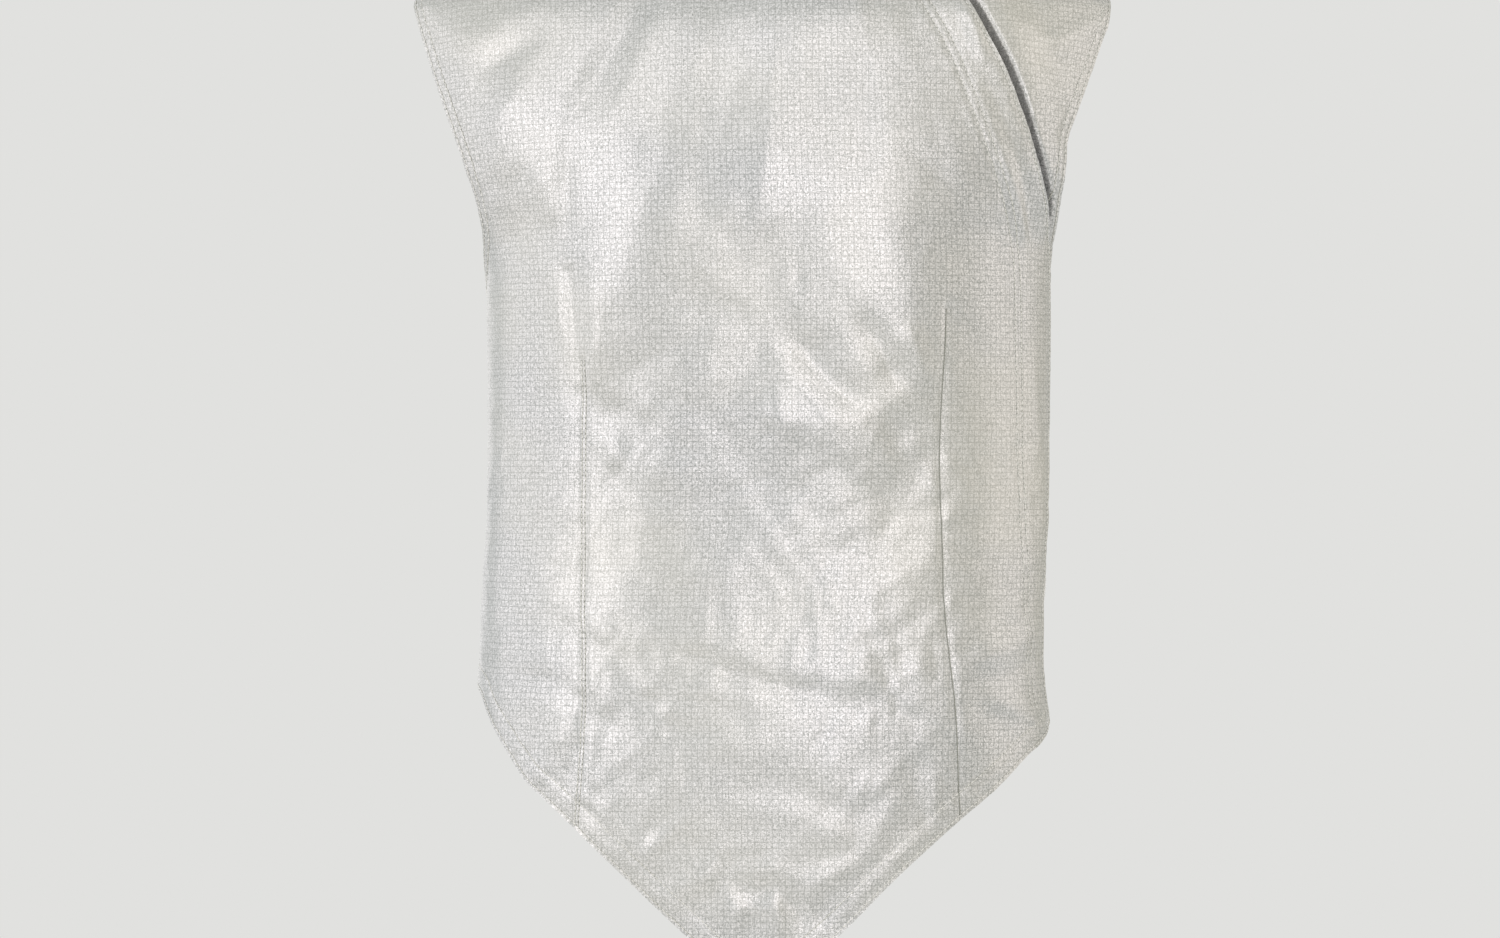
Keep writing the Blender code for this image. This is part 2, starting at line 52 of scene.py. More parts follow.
# %% [markdown]
# ## Camera, light and floor
#
# The camera comes first, because everything is seen through it. It stands level, 4 m in front of the
# garment, and a long lens keeps the sides from spreading. The frame is 0.975 m wide where it crosses
# the garment's middle plane.

# %% Camera
CAMERA_PLACE = (-0.00845, -4.0, -0.357)
VIEW_WIDTH = 0.975
SENSOR_WIDTH = 36.0

bpy.ops.object.camera_add(location=CAMERA_PLACE, rotation=(math.radians(90), 0, 0))
camera = bpy.context.object
camera.name = "studio_camera"
camera.data.sensor_width = SENSOR_WIDTH
camera.data.lens = SENSOR_WIDTH * -CAMERA_PLACE[1] / VIEW_WIDTH
bpy.context.scene.camera = camera
print("lens:", round(camera.data.lens, 1), "mm")

# %% [markdown]
# Metal cloth shows what it mirrors, so the light is made of large soft panels, all at one distance.
# The key stands to the left, and the middle panel in front and a little to the right. The chest
# mirrors the dark gap between them, which gives the folds their contrast. Two panels above reach the
# cloth that leans back, a weak one below reaches the hem, two wide ones light the sides, and two
# light the back, which the front view doesn't show.


# %% Light
def linear(code):
    """An sRGB hex colour as the linear values that a shader takes."""
    parts = [int(code[i : i + 2], 16) / 255 for i in (1, 3, 5)]
    return (*[c / 12.92 if c <= 0.04045 else ((c + 0.055) / 1.055) ** 2.4 for c in parts], 1.0)


CHEST = Vector((0, 0, -0.30))
PANEL_DISTANCE = 3.2
PANEL_COLOUR = linear("#FFF7F9")
# Azimuth (0 in front, 90 to the picture's right) and elevation in degrees, size in m, radiance
PANELS = {
    "key_panel": (-45, 5, 2.05, 1.0),
    "middle_panel": (14, 3, 1.6, 1.22),
    "low_panel": (-10, -18, 1.4, 0.32),
    "upper_left_panel": (-30, 38, 1.7, 0.72),
    "upper_middle_panel": (14, 37, 1.5, 0.85),
    "left_panel": (-94, 3, 3.3, 0.42),
    "far_right_panel": (88, 10, 3.2, 0.42),
    "back_left_panel": (-160, 6, 1.6, 0.45),
    "back_right_panel": (170, 5, 1.5, 1.0),
}


def soft_panel(name, azimuth, elevation, size, radiance):
    """A square light that faces the chest."""
    turn, lift = math.radians(azimuth), math.radians(elevation)
    away = Vector((math.sin(turn) * math.cos(lift), -math.cos(turn) * math.cos(lift), math.sin(lift)))
    bpy.ops.object.light_add(type="AREA", location=CHEST + away * PANEL_DISTANCE)
    light = bpy.context.object
    light.name = name
    light.data.size = size
    light.data.energy = radiance * math.pi * size**2
    light.data.color = PANEL_COLOUR[:3]
    light.visible_camera = False
    light.rotation_euler = away.to_track_quat("Z", "Y").to_euler()


for name, row in PANELS.items():
    soft_panel(name, *row)
print(len(PANELS), "light panels")

# %% [markdown]
# ## Nodes
#
# Each material is a small tree of nodes. One function adds a node, sets it up and links what feeds
# it, so that a tree reads as a list of steps.


# %% Node helper
def add_node(tree, kind, inputs=None, **settings):
    """One shader node. A socket given as an input is linked, and any other value is set."""
    node = tree.nodes.new("ShaderNode" + kind)
    for name, value in settings.items():
        setattr(node, name, value)
    for key, value in (inputs or {}).items():
        if isinstance(value, bpy.types.NodeSocket):
            tree.links.new(value, node.inputs[key])
        else:
            node.inputs[key].default_value = value
    return node


def new_material(name, **values):
    """A Principled material with plain values, its tree and its shader."""
    made = bpy.data.materials.new(name)
    made.use_nodes = True
    shader = made.node_tree.nodes["Principled BSDF"]
    for key, value in values.items():
        shader.inputs[key.replace("_", " ")].default_value = value
    return made, made.node_tree, shader


def feed(tree, shader, **sockets):
    """Links sockets to the shader's inputs of these names."""
    for key, socket in sockets.items():
        tree.links.new(socket, shader.inputs[key.replace("_", " ")])


# %% [markdown]
# The room behind the garment is pale. What the cloth mirrors is darker below and brighter above, as
# in a studio with a dark floor and a white ceiling, so the world has two answers: one colour for the
# camera, and a soft gradient for the light.

# %% Room
BACKDROP = linear("#E1E1DF")
LEFT_WALL, RIGHT_WALL = linear("#FAFEFB"), linear("#FCF8E6")
TO_BRIGHT_CORNER = (-0.42, 0, 0.9)
DIM, BRIGHT = 0.51, 0.67

world = bpy.data.worlds.new("pale_room")
bpy.context.scene.world = world
world.use_nodes = True
room = world.node_tree
ray = add_node(room, "TexCoord").outputs["Generated"]
height = add_node(room, "VectorMath", {0: ray, 1: TO_BRIGHT_CORNER}, operation="DOT_PRODUCT")
span = {"From Min": -1.0, "From Max": 0.5, "To Min": DIM, "To Max": BRIGHT}
level = add_node(
    room, "MapRange", {"Value": height.outputs["Value"], **span}, interpolation_type="SMOOTHSTEP"
).outputs[0]
to_right = add_node(room, "SeparateXYZ", {0: ray}).outputs[0]
warm = add_node(room, "MapRange", {"Value": to_right, "From Min": 0.1, "From Max": 0.8}).outputs[0]
wall = add_node(room, "Mix", {0: warm, 6: LEFT_WALL, 7: RIGHT_WALL}, data_type="RGBA").outputs[2]
lit = add_node(
    room, "Mix", {0: 1.0, 6: wall, 7: level}, data_type="RGBA", blend_type="MULTIPLY"
).outputs[2]
seen = add_node(room, "LightPath").outputs["Is Camera Ray"]
tone = add_node(room, "Mix", {0: seen, 6: lit, 7: BACKDROP}, data_type="RGBA").outputs[2]
feed(room, room.nodes["Background"], Color=tone)
bpy.context.scene.view_settings.view_transform = "Standard"
print("room:", len(room.nodes), "nodes")

# %% [markdown]
# The floor is matt paper. It lies far below, so that the front view shows the pale room alone.

# %% Floor
FLOOR_Z, FLOOR_RADIUS = -2.0, 8
FIBRES_PER_METRE = 40.0
bpy.ops.mesh.primitive_circle_add(
    vertices=96, radius=FLOOR_RADIUS, fill_type="NGON", location=(0, 0, FLOOR_Z)
)
floor = bpy.context.object
floor.name = "studio_floor"
paper, paper_tree, paper_shader = new_material("matt_floor_paper", Roughness=0.9)
flat = add_node(paper_tree, "TexCoord").outputs["Object"]
fibres = {"Vector": flat, "Scale": FIBRES_PER_METRE, "Detail": 4.0}
fibre = add_node(paper_tree, "TexNoise", fibres).outputs[0]
pulp = {0: fibre, 6: linear("#ECECEA"), 7: linear("#F2F2F0")}
tone = add_node(paper_tree, "Mix", pulp, data_type="RGBA").outputs[2]
feed(paper_tree, paper_shader, Base_Color=tone)
floor.data.materials.append(paper)
print("floor:", FLOOR_RADIUS, "m round the garment,", -FLOOR_Z, "m below its shoulders")

# %% [markdown]
# ## The form under the cloth
#
# The garment is shown as worn, so its cloth lies on a full form, which is a stack of sections. A
# place on it is a turn and a height z, in millimetres: turn 0 is the centre front, 1 the left side
# as worn, 2 the centre back and -1 the right side. A pattern piece is drawn flat, as girth distance
# and height, and is then wrapped on the form.

# %% Sections of the form
MM = 0.001
ARC_STEPS = 120
# z, centre, half width, depth in front, depth behind, squareness
FORM_TABLE = np.array(
    (
        (-720, -1, 168, 102, 104, 2.30), (-650, -1, 176, 109, 108, 2.35),
        (-580, -1.5, 181, 114, 109, 2.40), (-510, -2, 181.5, 116, 107, 2.40),
        (-450, -1, 180.5, 114, 101, 2.40), (-390, 2, 180, 114, 99, 2.35),
        (-330, 3, 180, 118, 104, 2.35), (-270, 3, 180.5, 123, 112, 2.30),
        (-235, 3, 181.5, 125, 117, 2.30), (-215, 2.5, 185, 125, 119, 2.25),
        (-200, 2, 192, 125, 120, 2.20), (-180, 1.5, 203, 124, 120, 2.20),
        (-165, 1, 211, 123, 119, 2.20), (-145, 0.5, 219, 121, 117, 2.20),
        (-125, 0, 225, 118, 114, 2.15), (-100, 0, 229, 112, 108, 2.10),
        (-75, 0, 232, 103, 99, 2.05), (-60, 0, 230.5, 95, 92, 2.02),
        (-50, 0, 221.5, 88, 87, 2.00), (-40, 0, 193, 79, 81, 2.00),
        (-25, 0, 150, 68, 71, 2.00), (-10, 0, 104, 60, 61, 2.00),
        (0, 0, 75, 54, 53, 2.00), (15, 0, 50, 44, 42, 2.00),
    )
)


def smooth_rows(x, knots, values):
    """Monotone cubic through the knots, so that no bulge appears between two rows."""
    steps = np.diff(knots)
    slopes = np.diff(values) / steps
    product = slopes[:-1] * slopes[1:]
    total = slopes[:-1] + slopes[1:]
    tangents = np.empty(len(knots))
    tangents[0], tangents[-1] = slopes[0], slopes[-1]
    tangents[1:-1] = np.where(product > 0, 2 * product / np.where(total == 0, 1, total), 0)
    i = np.clip(np.searchsorted(knots, x) - 1, 0, len(knots) - 2)
    t = (x - knots[i]) / steps[i]
    start = (2 * t**3 - 3 * t**2 + 1) * values[i] + (t**3 - 2 * t**2 + t) * steps[i] * tangents[i]
    end = (3 * t**2 - 2 * t**3) * values[i + 1] + (t**3 - t**2) * steps[i] * tangents[i + 1]
    return start + end


def form_sizes(z):
    """Centre, half width, front depth, back depth and squareness of the form at each z."""
    return [smooth_rows(z, FORM_TABLE[:, 0], FORM_TABLE[:, k]) for k in range(1, FORM_TABLE.shape[1])]


# %% [markdown]
# A section is a rounded box, called a superellipse. Its squareness is 2 for an ellipse and more for
# a fuller one. Distances round it are measured along its outline, as a tape would.


# %% Places on the form
def quarter_outline(half_width, depth, squareness):
    """Points and running lengths of a quarter section, from its centre to its side."""
    angle = np.linspace(0, math.pi / 2, ARC_STEPS)
    power = 2 / squareness[:, None]
    x = half_width[:, None] * np.sin(angle) ** power
    y = depth[:, None] * np.abs(np.cos(angle)) ** power
    steps = np.hypot(np.diff(x, axis=1), np.diff(y, axis=1))
    lengths = np.concatenate([np.zeros((len(x), 1)), np.cumsum(steps, axis=1)], axis=1)
    return x, y, lengths


def quarter_lengths(z):
    """Length of the front quarter and of the back quarter of the section at each z."""
    half_width, front, back, squareness = form_sizes(z)[1:]
    return [quarter_outline(half_width, depth, squareness)[2][:, -1] for depth in (front, back)]


def form_points(turn, z):
    """Points of the form at each turn and z."""
    turn = (turn + 2) % 4 - 2
    centre, half_width, front, back, squareness = form_sizes(z)
    on_front = np.abs(turn) <= 1
    fraction = np.where(on_front, np.abs(turn), 2 - np.abs(turn))
    x, y, lengths = quarter_outline(half_width, np.where(on_front, front, back), squareness)
    wanted = fraction * lengths[:, -1]
    low = np.clip((lengths < wanted[:, None]).sum(axis=1) - 1, 0, ARC_STEPS - 2)
    row = np.arange(len(z))
    share = (wanted - lengths[row, low]) / (lengths[row, low + 1] - lengths[row, low])
    x = x[row, low] + share * (x[row, low + 1] - x[row, low])
    y = y[row, low] + share * (y[row, low + 1] - y[row, low])
    return np.stack([centre + np.sign(turn) * x, np.where(on_front, -y, y), z], axis=1)


def form_normals(turn, z, turn_step=0.012, z_step=1.5):
    """Outward unit normals of the form, from small steps round it and down it."""
    along = form_points(turn + turn_step, z) - form_points(turn - turn_step, z)
    down = form_points(turn, z - z_step) - form_points(turn, z + z_step)
    normals = np.cross(down, along)
    return normals / np.linalg.norm(normals, axis=1)[:, None]


# %% [markdown]
# A pattern is measured round the girth and the form by turns, so each place is taken from one to
# the other. A place read off a photograph is given by its x, and has a function of its own.


# %% From the pattern to the form and back
def to_across(turn, z, on_back=False):
    """Girth distance from a panel's centre line, for turns that are counted from that line."""
    near, far = quarter_lengths(z)[:: -1 if on_back else 1]
    size = np.abs(turn)
    return np.sign(turn) * np.where(size <= 1, size * near, near + (size - 1) * far)


def to_turn(across, z, on_back=False):
    """Turn on the form for a girth distance from a panel's centre line."""
    near, far = quarter_lengths(z)[:: -1 if on_back else 1]
    size = np.abs(across)
    turn = np.sign(across) * np.where(size <= near, size / near, 1 + (size - near) / far)
    return turn + 2 if on_back else turn


def seen_across(x, z, on_back=False):
    """Girth distance of a place that is given as it is seen, by its x and z."""
    centre, half_width, front, back, squareness = form_sizes(z)
    outline_x, _, lengths = quarter_outline(half_width, back if on_back else front, squareness)
    size = np.abs(x - centre)
    girth = [np.interp(size[i], outline_x[i], lengths[i]) for i in range(len(size))]
    return np.sign(x - centre) * girth * (-1 if on_back else 1)


print("girth at the chest:", round(2 * sum(quarter_lengths(np.array([-235.0])))[0]), "mm")

# %% [markdown]
# ## Pattern pieces
#
# A maker cuts each panel to an outline. Here an outline is a short row of turns and heights, joined
# by a smooth curve. The four border lines of a panel then carry a grid of points between them, which
# runs with the edges, as the cloth does.

# %% Outlines of the panels
SEAM_GAP = 0.3
FLAP_RISE, FLAP_FULL, FLAP_FADE = 5.0, 47.0, 130.0
UNDERLAP = 45.0
SHOULDER_TIP_Z = -50.5
SIDE_SEAM_TURN, UNDERARM_Z = 1.04, -238.0

NECK_FRONT_RIGHT = ((-1.0, 0), (-0.72, -4.5), (-0.45, -14), (-0.205, -31), (-0.1, -37), (0, -40))
NECK_FRONT_LEFT = ((0, -40), (0.1, -37), (0.205, -31), (0.28, -25), (0.45, -14), (0.66, -6))
NECK_UNDER = ((0.28, -25), (0.45, -14), (0.66, -6), (1.0, 0))
NECK_BACK = ((-1.0, 0), (-0.6, -4.5), (-0.3, -12), (0, -16), (0.3, -12), (0.6, -4.5), (1.0, 0))
FLAP_EDGE = (
    (0.66, -6), (0.567, -18), (0.505, -32), (0.475, -45), (0.475, -58), (0.497, -74), (0.551, -105),
    (0.601, -138), (0.659, -166), (0.754, -197), (0.815, -220), (0.84, -252), (0.843, -400),
    (0.845, -488), (0.90, -521),
)
ARMHOLE_RIGHT_FRONT = (
    (-1.0, -50.5), (-0.955, -53), (-0.91, -60.5), (-0.863, -76), (-0.815, -105), (-0.776, -132),
    (-0.762, -158), (-0.779, -184), (-0.819, -202), (-0.87, -214), (-0.93, -226), (-0.985, -233.5),
    (-1.04, -238),
)
ARMHOLE_LEFT_FRONT = (
    (1.0, -50.5), (0.95, -53), (0.90, -61), (0.864, -73), (0.806, -105), (0.764, -130),
    (0.741, -158), (0.760, -180), (0.815, -199), (0.87, -214), (0.93, -228), (0.985, -235.5),
    (1.04, -238),
)
ARMHOLE_BACK = (
    (1.0, -50.5), (0.96, -52.5), (0.91, -60), (0.855, -80), (0.805, -106), (0.765, -138),
    (0.758, -168), (0.785, -196), (0.83, -218), (0.89, -234), (0.96, -238),
)
HEM_FRONT_RIGHT = (
    (-1.04, -497), (-0.95, -498.5), (-0.868, -503), (-0.803, -517), (-0.724, -535),
    (-0.652, -553.5), (-0.530, -578), (-0.318, -626.5), (-0.105, -675), (-0.055, -686),
    (-0.008, -690),
)
HEM_FRONT_LEFT = (
    (-0.008, -690), (0.04, -686), (0.09, -676), (0.208, -652.5), (0.368, -614), (0.53, -580),
    (0.62, -563), (0.735, -541), (0.82, -532), (0.90, -521),
)
HEM_UNDER = ((0.66, -514), (0.88, -508), (1.04, -503))
HEM_BACK = ((-0.96, -503), (-0.5, -495), (0, -492), (0.5, -494), (0.96, -497))

# %% [markdown]
# A panel's grid is as fine as its smallest crease, about 2 mm. Each stretch of border has its own
# count of cells, and stretches that are sewn together meet at a corner of the grid.

# %% Cells along the borders
FINE = 5
SEAM_CELLS, BACK_SEAM_CELLS = 15 * FINE, 9 * FINE
NECK_CELLS = (15 * FINE, 14 * FINE)
HEM_CELLS = (23 * FINE, 21 * FINE)
ARMHOLE_CELLS, SIDE_CELLS = 15 * FINE, 27 * FINE
BACK_NECK_CELLS, BACK_SIDE_CELLS = 12 * FINE, 13 * FINE
UNDER_FINE = 7
UNDER_NECK_CELLS, UNDER_ARMHOLE_CELLS = 4 * UNDER_FINE, 15 * UNDER_FINE
BORDER_HOLD = 2.8
print("cells across the front:", SEAM_CELLS + sum(NECK_CELLS))

# %% [markdown]
# A border is a smooth curve through a few places, cut into equal lengths, so that the cells keep one
# size. Where two borders meet at a corner, they are moved a little to end at the same point.


# %% Even lines
def rounded_line(points, count):
    """A smooth curve through the points, cut into equal lengths."""
    points = np.array(points, float)
    gaps = np.sqrt(np.linalg.norm(np.diff(points, axis=0), axis=1))
    knots = np.concatenate([[0], np.cumsum(gaps)])
    tangents = np.gradient(points, knots, axis=0)
    t = np.linspace(0, knots[-1], 40 * len(points))
    i = np.clip(np.searchsorted(knots, t) - 1, 0, len(knots) - 2)
    span = (knots[i + 1] - knots[i])[:, None]
    u = ((t - knots[i]) / span[:, 0])[:, None]
    fine = (2 * u**3 - 3 * u**2 + 1) * points[i] + (u**3 - 2 * u**2 + u) * span * tangents[i]
    fine += (3 * u**2 - 2 * u**3) * points[i + 1] + (u**3 - u**2) * span * tangents[i + 1]
    return evened(fine, count)


def evened(line, count):
    """A line of points cut into equal lengths."""
    lengths = np.concatenate([[0], np.cumsum(np.linalg.norm(np.diff(line, axis=0), axis=1))])
    wanted = np.linspace(0, lengths[-1], count + 1)
    return np.stack([np.interp(wanted, lengths, line[:, k]) for k in range(2)], axis=1)


def outline(rows, count, on_back=False):
    """An outline table as an even line of girth distances and heights."""
    rows = np.array(rows, float)
    across = to_across(rows[:, 0], rows[:, 1], on_back)
    return rounded_line(np.stack([across, rows[:, 1]], axis=1), count)


def pinned(line, start, end):
    """A line moved a little, so that its two ends land on two points."""
    share = np.linspace(0, 1, len(line))[:, None]
    return line + (1 - share) * (start - line[0]) + share * (end - line[-1])


def joined(*lines):
    """Lines that meet end to end, as one."""
    return np.concatenate([lines[0]] + [line[1:] for line in lines[1:]])

# %% [markdown]
# A seam's line is drawn half a gap inside its panel. Four borders then make a grid between them: near
# a border it runs as the border does, and further in it runs straight across.


# %% Seams and grids
def shoulder_seam(side, start_z, end_z, count, on_back=False):
    """The seam along the top of a shoulder, half a seam gap inside the panel."""
    z = np.linspace(start_z, end_z, count + 1)
    x = form_sizes(z)[1]
    lengths = np.concatenate([[0], np.cumsum(np.hypot(np.diff(x), np.diff(z)))])
    z = np.interp(np.linspace(0, lengths[-1], count + 1), lengths, z)
    across = to_across(np.ones_like(z), z, on_back) - SEAM_GAP / 2
    return np.stack([side * across, z], axis=1)


def side_seam(side, bottom_z, count, on_back=False):
    """The seam down a side from the underarm, half a seam gap inside the panel."""
    z = np.linspace(UNDERARM_Z, bottom_z, count + 1)
    turn = 2 - SIDE_SEAM_TURN if on_back else SIDE_SEAM_TURN
    across = to_across(np.full_like(z, turn), z, on_back) - SEAM_GAP / 2
    return np.stack([side * across, z], axis=1)


def filled(top, bottom, left, right):
    """The grid between four border lines that share their corners."""
    columns = np.linspace(0, 1, len(top))[None, :, None]
    rows = np.linspace(0, 1, len(left))[:, None, None]
    across = (1 - columns) * left[:, None] + columns * right[:, None]
    top_shape = top[None] - (1 - columns) * top[0] - columns * top[-1]
    bottom_shape = bottom[None] - (1 - columns) * bottom[0] - columns * bottom[-1]
    return across + (1 - rows) ** BORDER_HOLD * top_shape + rows**BORDER_HOLD * bottom_shape

# %% [markdown]
# The flap's edge is the one line that several things are measured from: its stitches, the slot beside
# it and the zip below it.

# %% The flap's edge
FLAP_LINE = outline(FLAP_EDGE, ARMHOLE_CELLS + SIDE_CELLS)


def inside_flap(inset, z):
    """Girth distance of the line that runs this far inside the flap's edge, at each z."""
    line = offset_line(FLAP_LINE, inset)
    order = np.argsort(-line[:, 1], kind="stable")
    return np.interp(-z, -line[order, 1], line[order, 0])


def offset_line(line, inset):
    """A line moved sideways, to the right of the way that it runs."""
    step = np.gradient(line, axis=0)
    side = np.stack([step[:, 1], -step[:, 0]], axis=1)
    return line + inset * side / np.linalg.norm(side, axis=1)[:, None]

# %% [markdown]
# The border lines of a panel are its top, its bottom, its left and its right, as they lie in the flat
# pattern. The front's top runs over the shoulder seam and both halves of the neck.


# %% Borders of the front
def draft_front():
    """Border lines of the front, from the right shoulder, as worn, round to the flap."""
    seam = shoulder_seam(-1, SHOULDER_TIP_Z, 0, SEAM_CELLS)
    neck_right = outline(NECK_FRONT_RIGHT, NECK_CELLS[0])
    neck_left = outline(NECK_FRONT_LEFT, NECK_CELLS[1])
    armhole = outline(ARMHOLE_RIGHT_FRONT, ARMHOLE_CELLS)
    hem_right = outline(HEM_FRONT_RIGHT, HEM_CELLS[0])
    hem_left = outline(HEM_FRONT_LEFT, HEM_CELLS[1])
    side = side_seam(-1, HEM_FRONT_RIGHT[0][1], SIDE_CELLS)
    neck_right = pinned(neck_right, seam[-1], neck_right[-1])
    armhole = pinned(armhole, seam[0], side[0])
    hem_right = pinned(hem_right, side[-1], hem_right[-1])
    left = joined(armhole, side)
    return joined(seam, neck_right, neck_left), joined(hem_right, hem_left), left, FLAP_LINE.copy()

front_borders = draft_front()
print("front grid:", len(front_borders[2]), "rows of", len(front_borders[0]), "points")

# %% [markdown]
# The back is alike on both sides, so its two armholes come from one table and a side of -1 or 1.


# %% Borders of the back
def draft_back():
    """Border lines of the back, from the left, as worn, to the right."""
    seam_left = shoulder_seam(-1, SHOULDER_TIP_Z, 0, BACK_SEAM_CELLS, True)
    seam_right = shoulder_seam(1, 0, SHOULDER_TIP_Z, BACK_SEAM_CELLS, True)
    neck = outline(NECK_BACK, BACK_NECK_CELLS, True)
    neck = pinned(neck, seam_left[-1], seam_right[0])
    hem = outline(HEM_BACK, len(seam_left) + len(seam_right) + len(neck) - 3, True)
    sides = []
    for side, corner, tip in ((-1, hem[0], seam_left[0]), (1, hem[-1], seam_right[-1])):
        armhole = outline([(side * turn, z) for turn, z in ARMHOLE_BACK], ARMHOLE_CELLS, True)
        seam = side_seam(side, corner[1], BACK_SIDE_CELLS, True)
        sides.append(joined(pinned(armhole, tip, seam[0]), seam))
    hem = pinned(hem, sides[0][-1], sides[1][-1])
    return joined(seam_left, neck, seam_right), hem, *sides

back_borders = draft_back()
print("back grid:", len(back_borders[2]), "rows of", len(back_borders[0]), "points")

# %% [markdown]
# The side panel carries the yoke and reaches under the flap, where one half of the zip is sewn to it.


# %% Borders of the side panel
def draft_under():
    """Border lines of the side panel, from its edge under the flap to the side seam."""
    neck = outline(NECK_UNDER, UNDER_NECK_CELLS)
    seam = shoulder_seam(1, 0, SHOULDER_TIP_Z, 9 * UNDER_FINE)
    neck = pinned(neck, neck[0], seam[0])
    armhole = outline(ARMHOLE_LEFT_FRONT, UNDER_ARMHOLE_CELLS)
    side = side_seam(1, HEM_UNDER[-1][1], 13 * UNDER_FINE)
    armhole = pinned(armhole, seam[-1], side[0])
    hem = outline(HEM_UNDER, 13 * UNDER_FINE)
    z = np.linspace(NECK_UNDER[0][1], HEM_UNDER[0][1], 60)
    hidden = np.stack([inside_flap(UNDERLAP, z), z], axis=1)
    hidden[0] = neck[0]
    hidden = rounded_line(hidden, 28 * UNDER_FINE)
    hem = pinned(hem, hidden[-1], side[-1])
    return joined(neck, seam), hem, hidden, joined(armhole, side)


under_borders = draft_under()
print("side panel grid:", len(under_borders[2]), "rows of", len(under_borders[0]), "points")

# %% [markdown]
# ## Folds
#
# The worn cloth is full over the chest and pulls from the shoulders, the darts and the waist. Its
# largest folds are in the imported walls too. The finer ones are placed here, each as a curved line
# through three places with a width to each side of it, so that one flank can be steep and the other
# long. Their heights and lengths are as uneven as on the real one.

# %% Fullness and main folds, as on the imported walls
# Girth distance and height of both ends, half width, rise
FRONT_FOLDS = (
    (-84, -205, -92, -265, 46, 5.5),
    (84, -195, 96, -262, 48, 6.0),
    (-12, -95, -10, -330, 34, -1.9),
    (-128, -235, -122, -310, 9, -2.0),
    (-62, -62, -92, -150, 15, 1.4),
    (-24, -60, -40, -190, 12, -1.3),
    (150, -120, 176, -330, 15, 1.3),
    (-205, -85, -150, -66, 10, 0.8),
    (-190, -120, -160, -84, 10, -0.9),
    (-182, -182, -162, -118, 12, 1.1),
    (-48, -476, 92, -518, 11, -1.1),
    (-112, -452, 64, -486, 14, 1.0),
    (-114, -512, -12, -516, 10, -1.0),
    (-196, -486, -124, -500, 11, -0.9),
    (-122, -520, -156, -560, 10, 1.1),
    (-112, -422, -30, -398, 14, -0.6),
    (-112, -318, -58, -345, 12, -1.3),
    (34, -282, 82, -332, 12, -1.7),
    (150, -486, 204, -520, 12, -1.8),
    (-30, -600, 40, -640, 13, -1.4),
    (-60, -628, -28, -600, 9, 1.3),
)
BACK_FOLDS = (
    (-84, -120, -88, -200, 50, 4.0),
    (84, -120, 88, -200, 50, 4.0),
    (0, -90, 0, -300, 30, -2.6),
    (-150, -400, 30, -428, 14, -3.2),
    (-20, -372, 150, -392, 13, 2.8),
    (40, -446, 176, -430, 12, -2.8),
    (-190, -150, -130, -190, 12, 2.6),
    (190, -150, 128, -196, 12, -2.6),
    (-110, -250, -60, -350, 14, 2.4),
    (100, -262, 66, -340, 15, -2.4),
)
UNDER_FOLDS = (
    (196, -84, 236, -70, 9, 1.8),
    (182, -140, 214, -150, 10, -1.6),
    (215, -300, 262, -330, 13, -2.2),
    (225, -430, 270, -452, 12, 2.0),
)

# %% [markdown]
# A fold is highest on its line and falls away evenly. Creases, seams and stitches are measured from a
# line of points instead, with a sign for its side, and with how far along it a place lies.


# %% Distance to a fold and to a line
def fold_rise(across, z, folds):
    """Height of the main folds over the plain cloth at each place."""
    rise = np.zeros_like(across)
    for start_across, start_z, end_across, end_z, half_width, height in folds:
        run = np.array([end_across - start_across, end_z - start_z], float)
        length = np.hypot(*run)
        along = ((across - start_across) * run[0] + (z - start_z) * run[1]) / length
        beside = ((across - start_across) * run[1] - (z - start_z) * run[0]) / length
        beyond = np.maximum(np.maximum(-along, along - length), 0)
        rise += height * np.exp(-(beside**2 + beyond**2) / half_width**2)
    return rise


def nearest(across, z, line):
    """Signed distance to a line of points, and how far along it the nearest place is."""
    best = np.full(across.shape, np.inf)
    side = np.ones(across.shape)
    along = np.zeros(across.shape)
    run = 0.0
    for start, end in zip(line[:-1], line[1:]):
        step = end - start
        length = np.hypot(*step)
        x, y = across - start[0], z - start[1]
        t = np.clip((x * step[0] + y * step[1]) / length**2, 0, 1)
        x, y = x - t * step[0], y - t * step[1]
        distance = x * x + y * y
        closer = distance < best
        best = np.where(closer, distance, best)
        side = np.where(closer, np.sign(step[0] * y - step[1] * x), side)
        along = np.where(closer, run + t * length, along)
        run += length
    return np.sqrt(best) * side, along

# %% [markdown]
# The flap lies over the side panel, so it stands off the form there and comes down to it gradually.


# %% Rise of the flap
def smooth_share(value):
    """0 below 0, 1 above 1 and an even curve between."""
    value = np.clip(value, 0, 1)
    return value * value * (3 - 2 * value)


def flap_rise(across, z):
    """How far the flap lies off the form, fading out away from its edge."""
    distance = np.abs(nearest(across, z, FLAP_LINE[::4])[0])
    return FLAP_RISE * smooth_share((FLAP_FADE - distance) / (FLAP_FADE - FLAP_FULL))


print(len(FRONT_FOLDS), "main folds in front,", len(BACK_FOLDS), "behind,", len(UNDER_FOLDS), "beside")

# %% [markdown]
# A crease is finer than a fold, and its flanks are flat, because the metal thread keeps a bend. Each
# row below was read off the garment: where the crease starts, bends and ends, how wide its two
# flanks are, and how far it stands out, or sinks in with a minus sign.

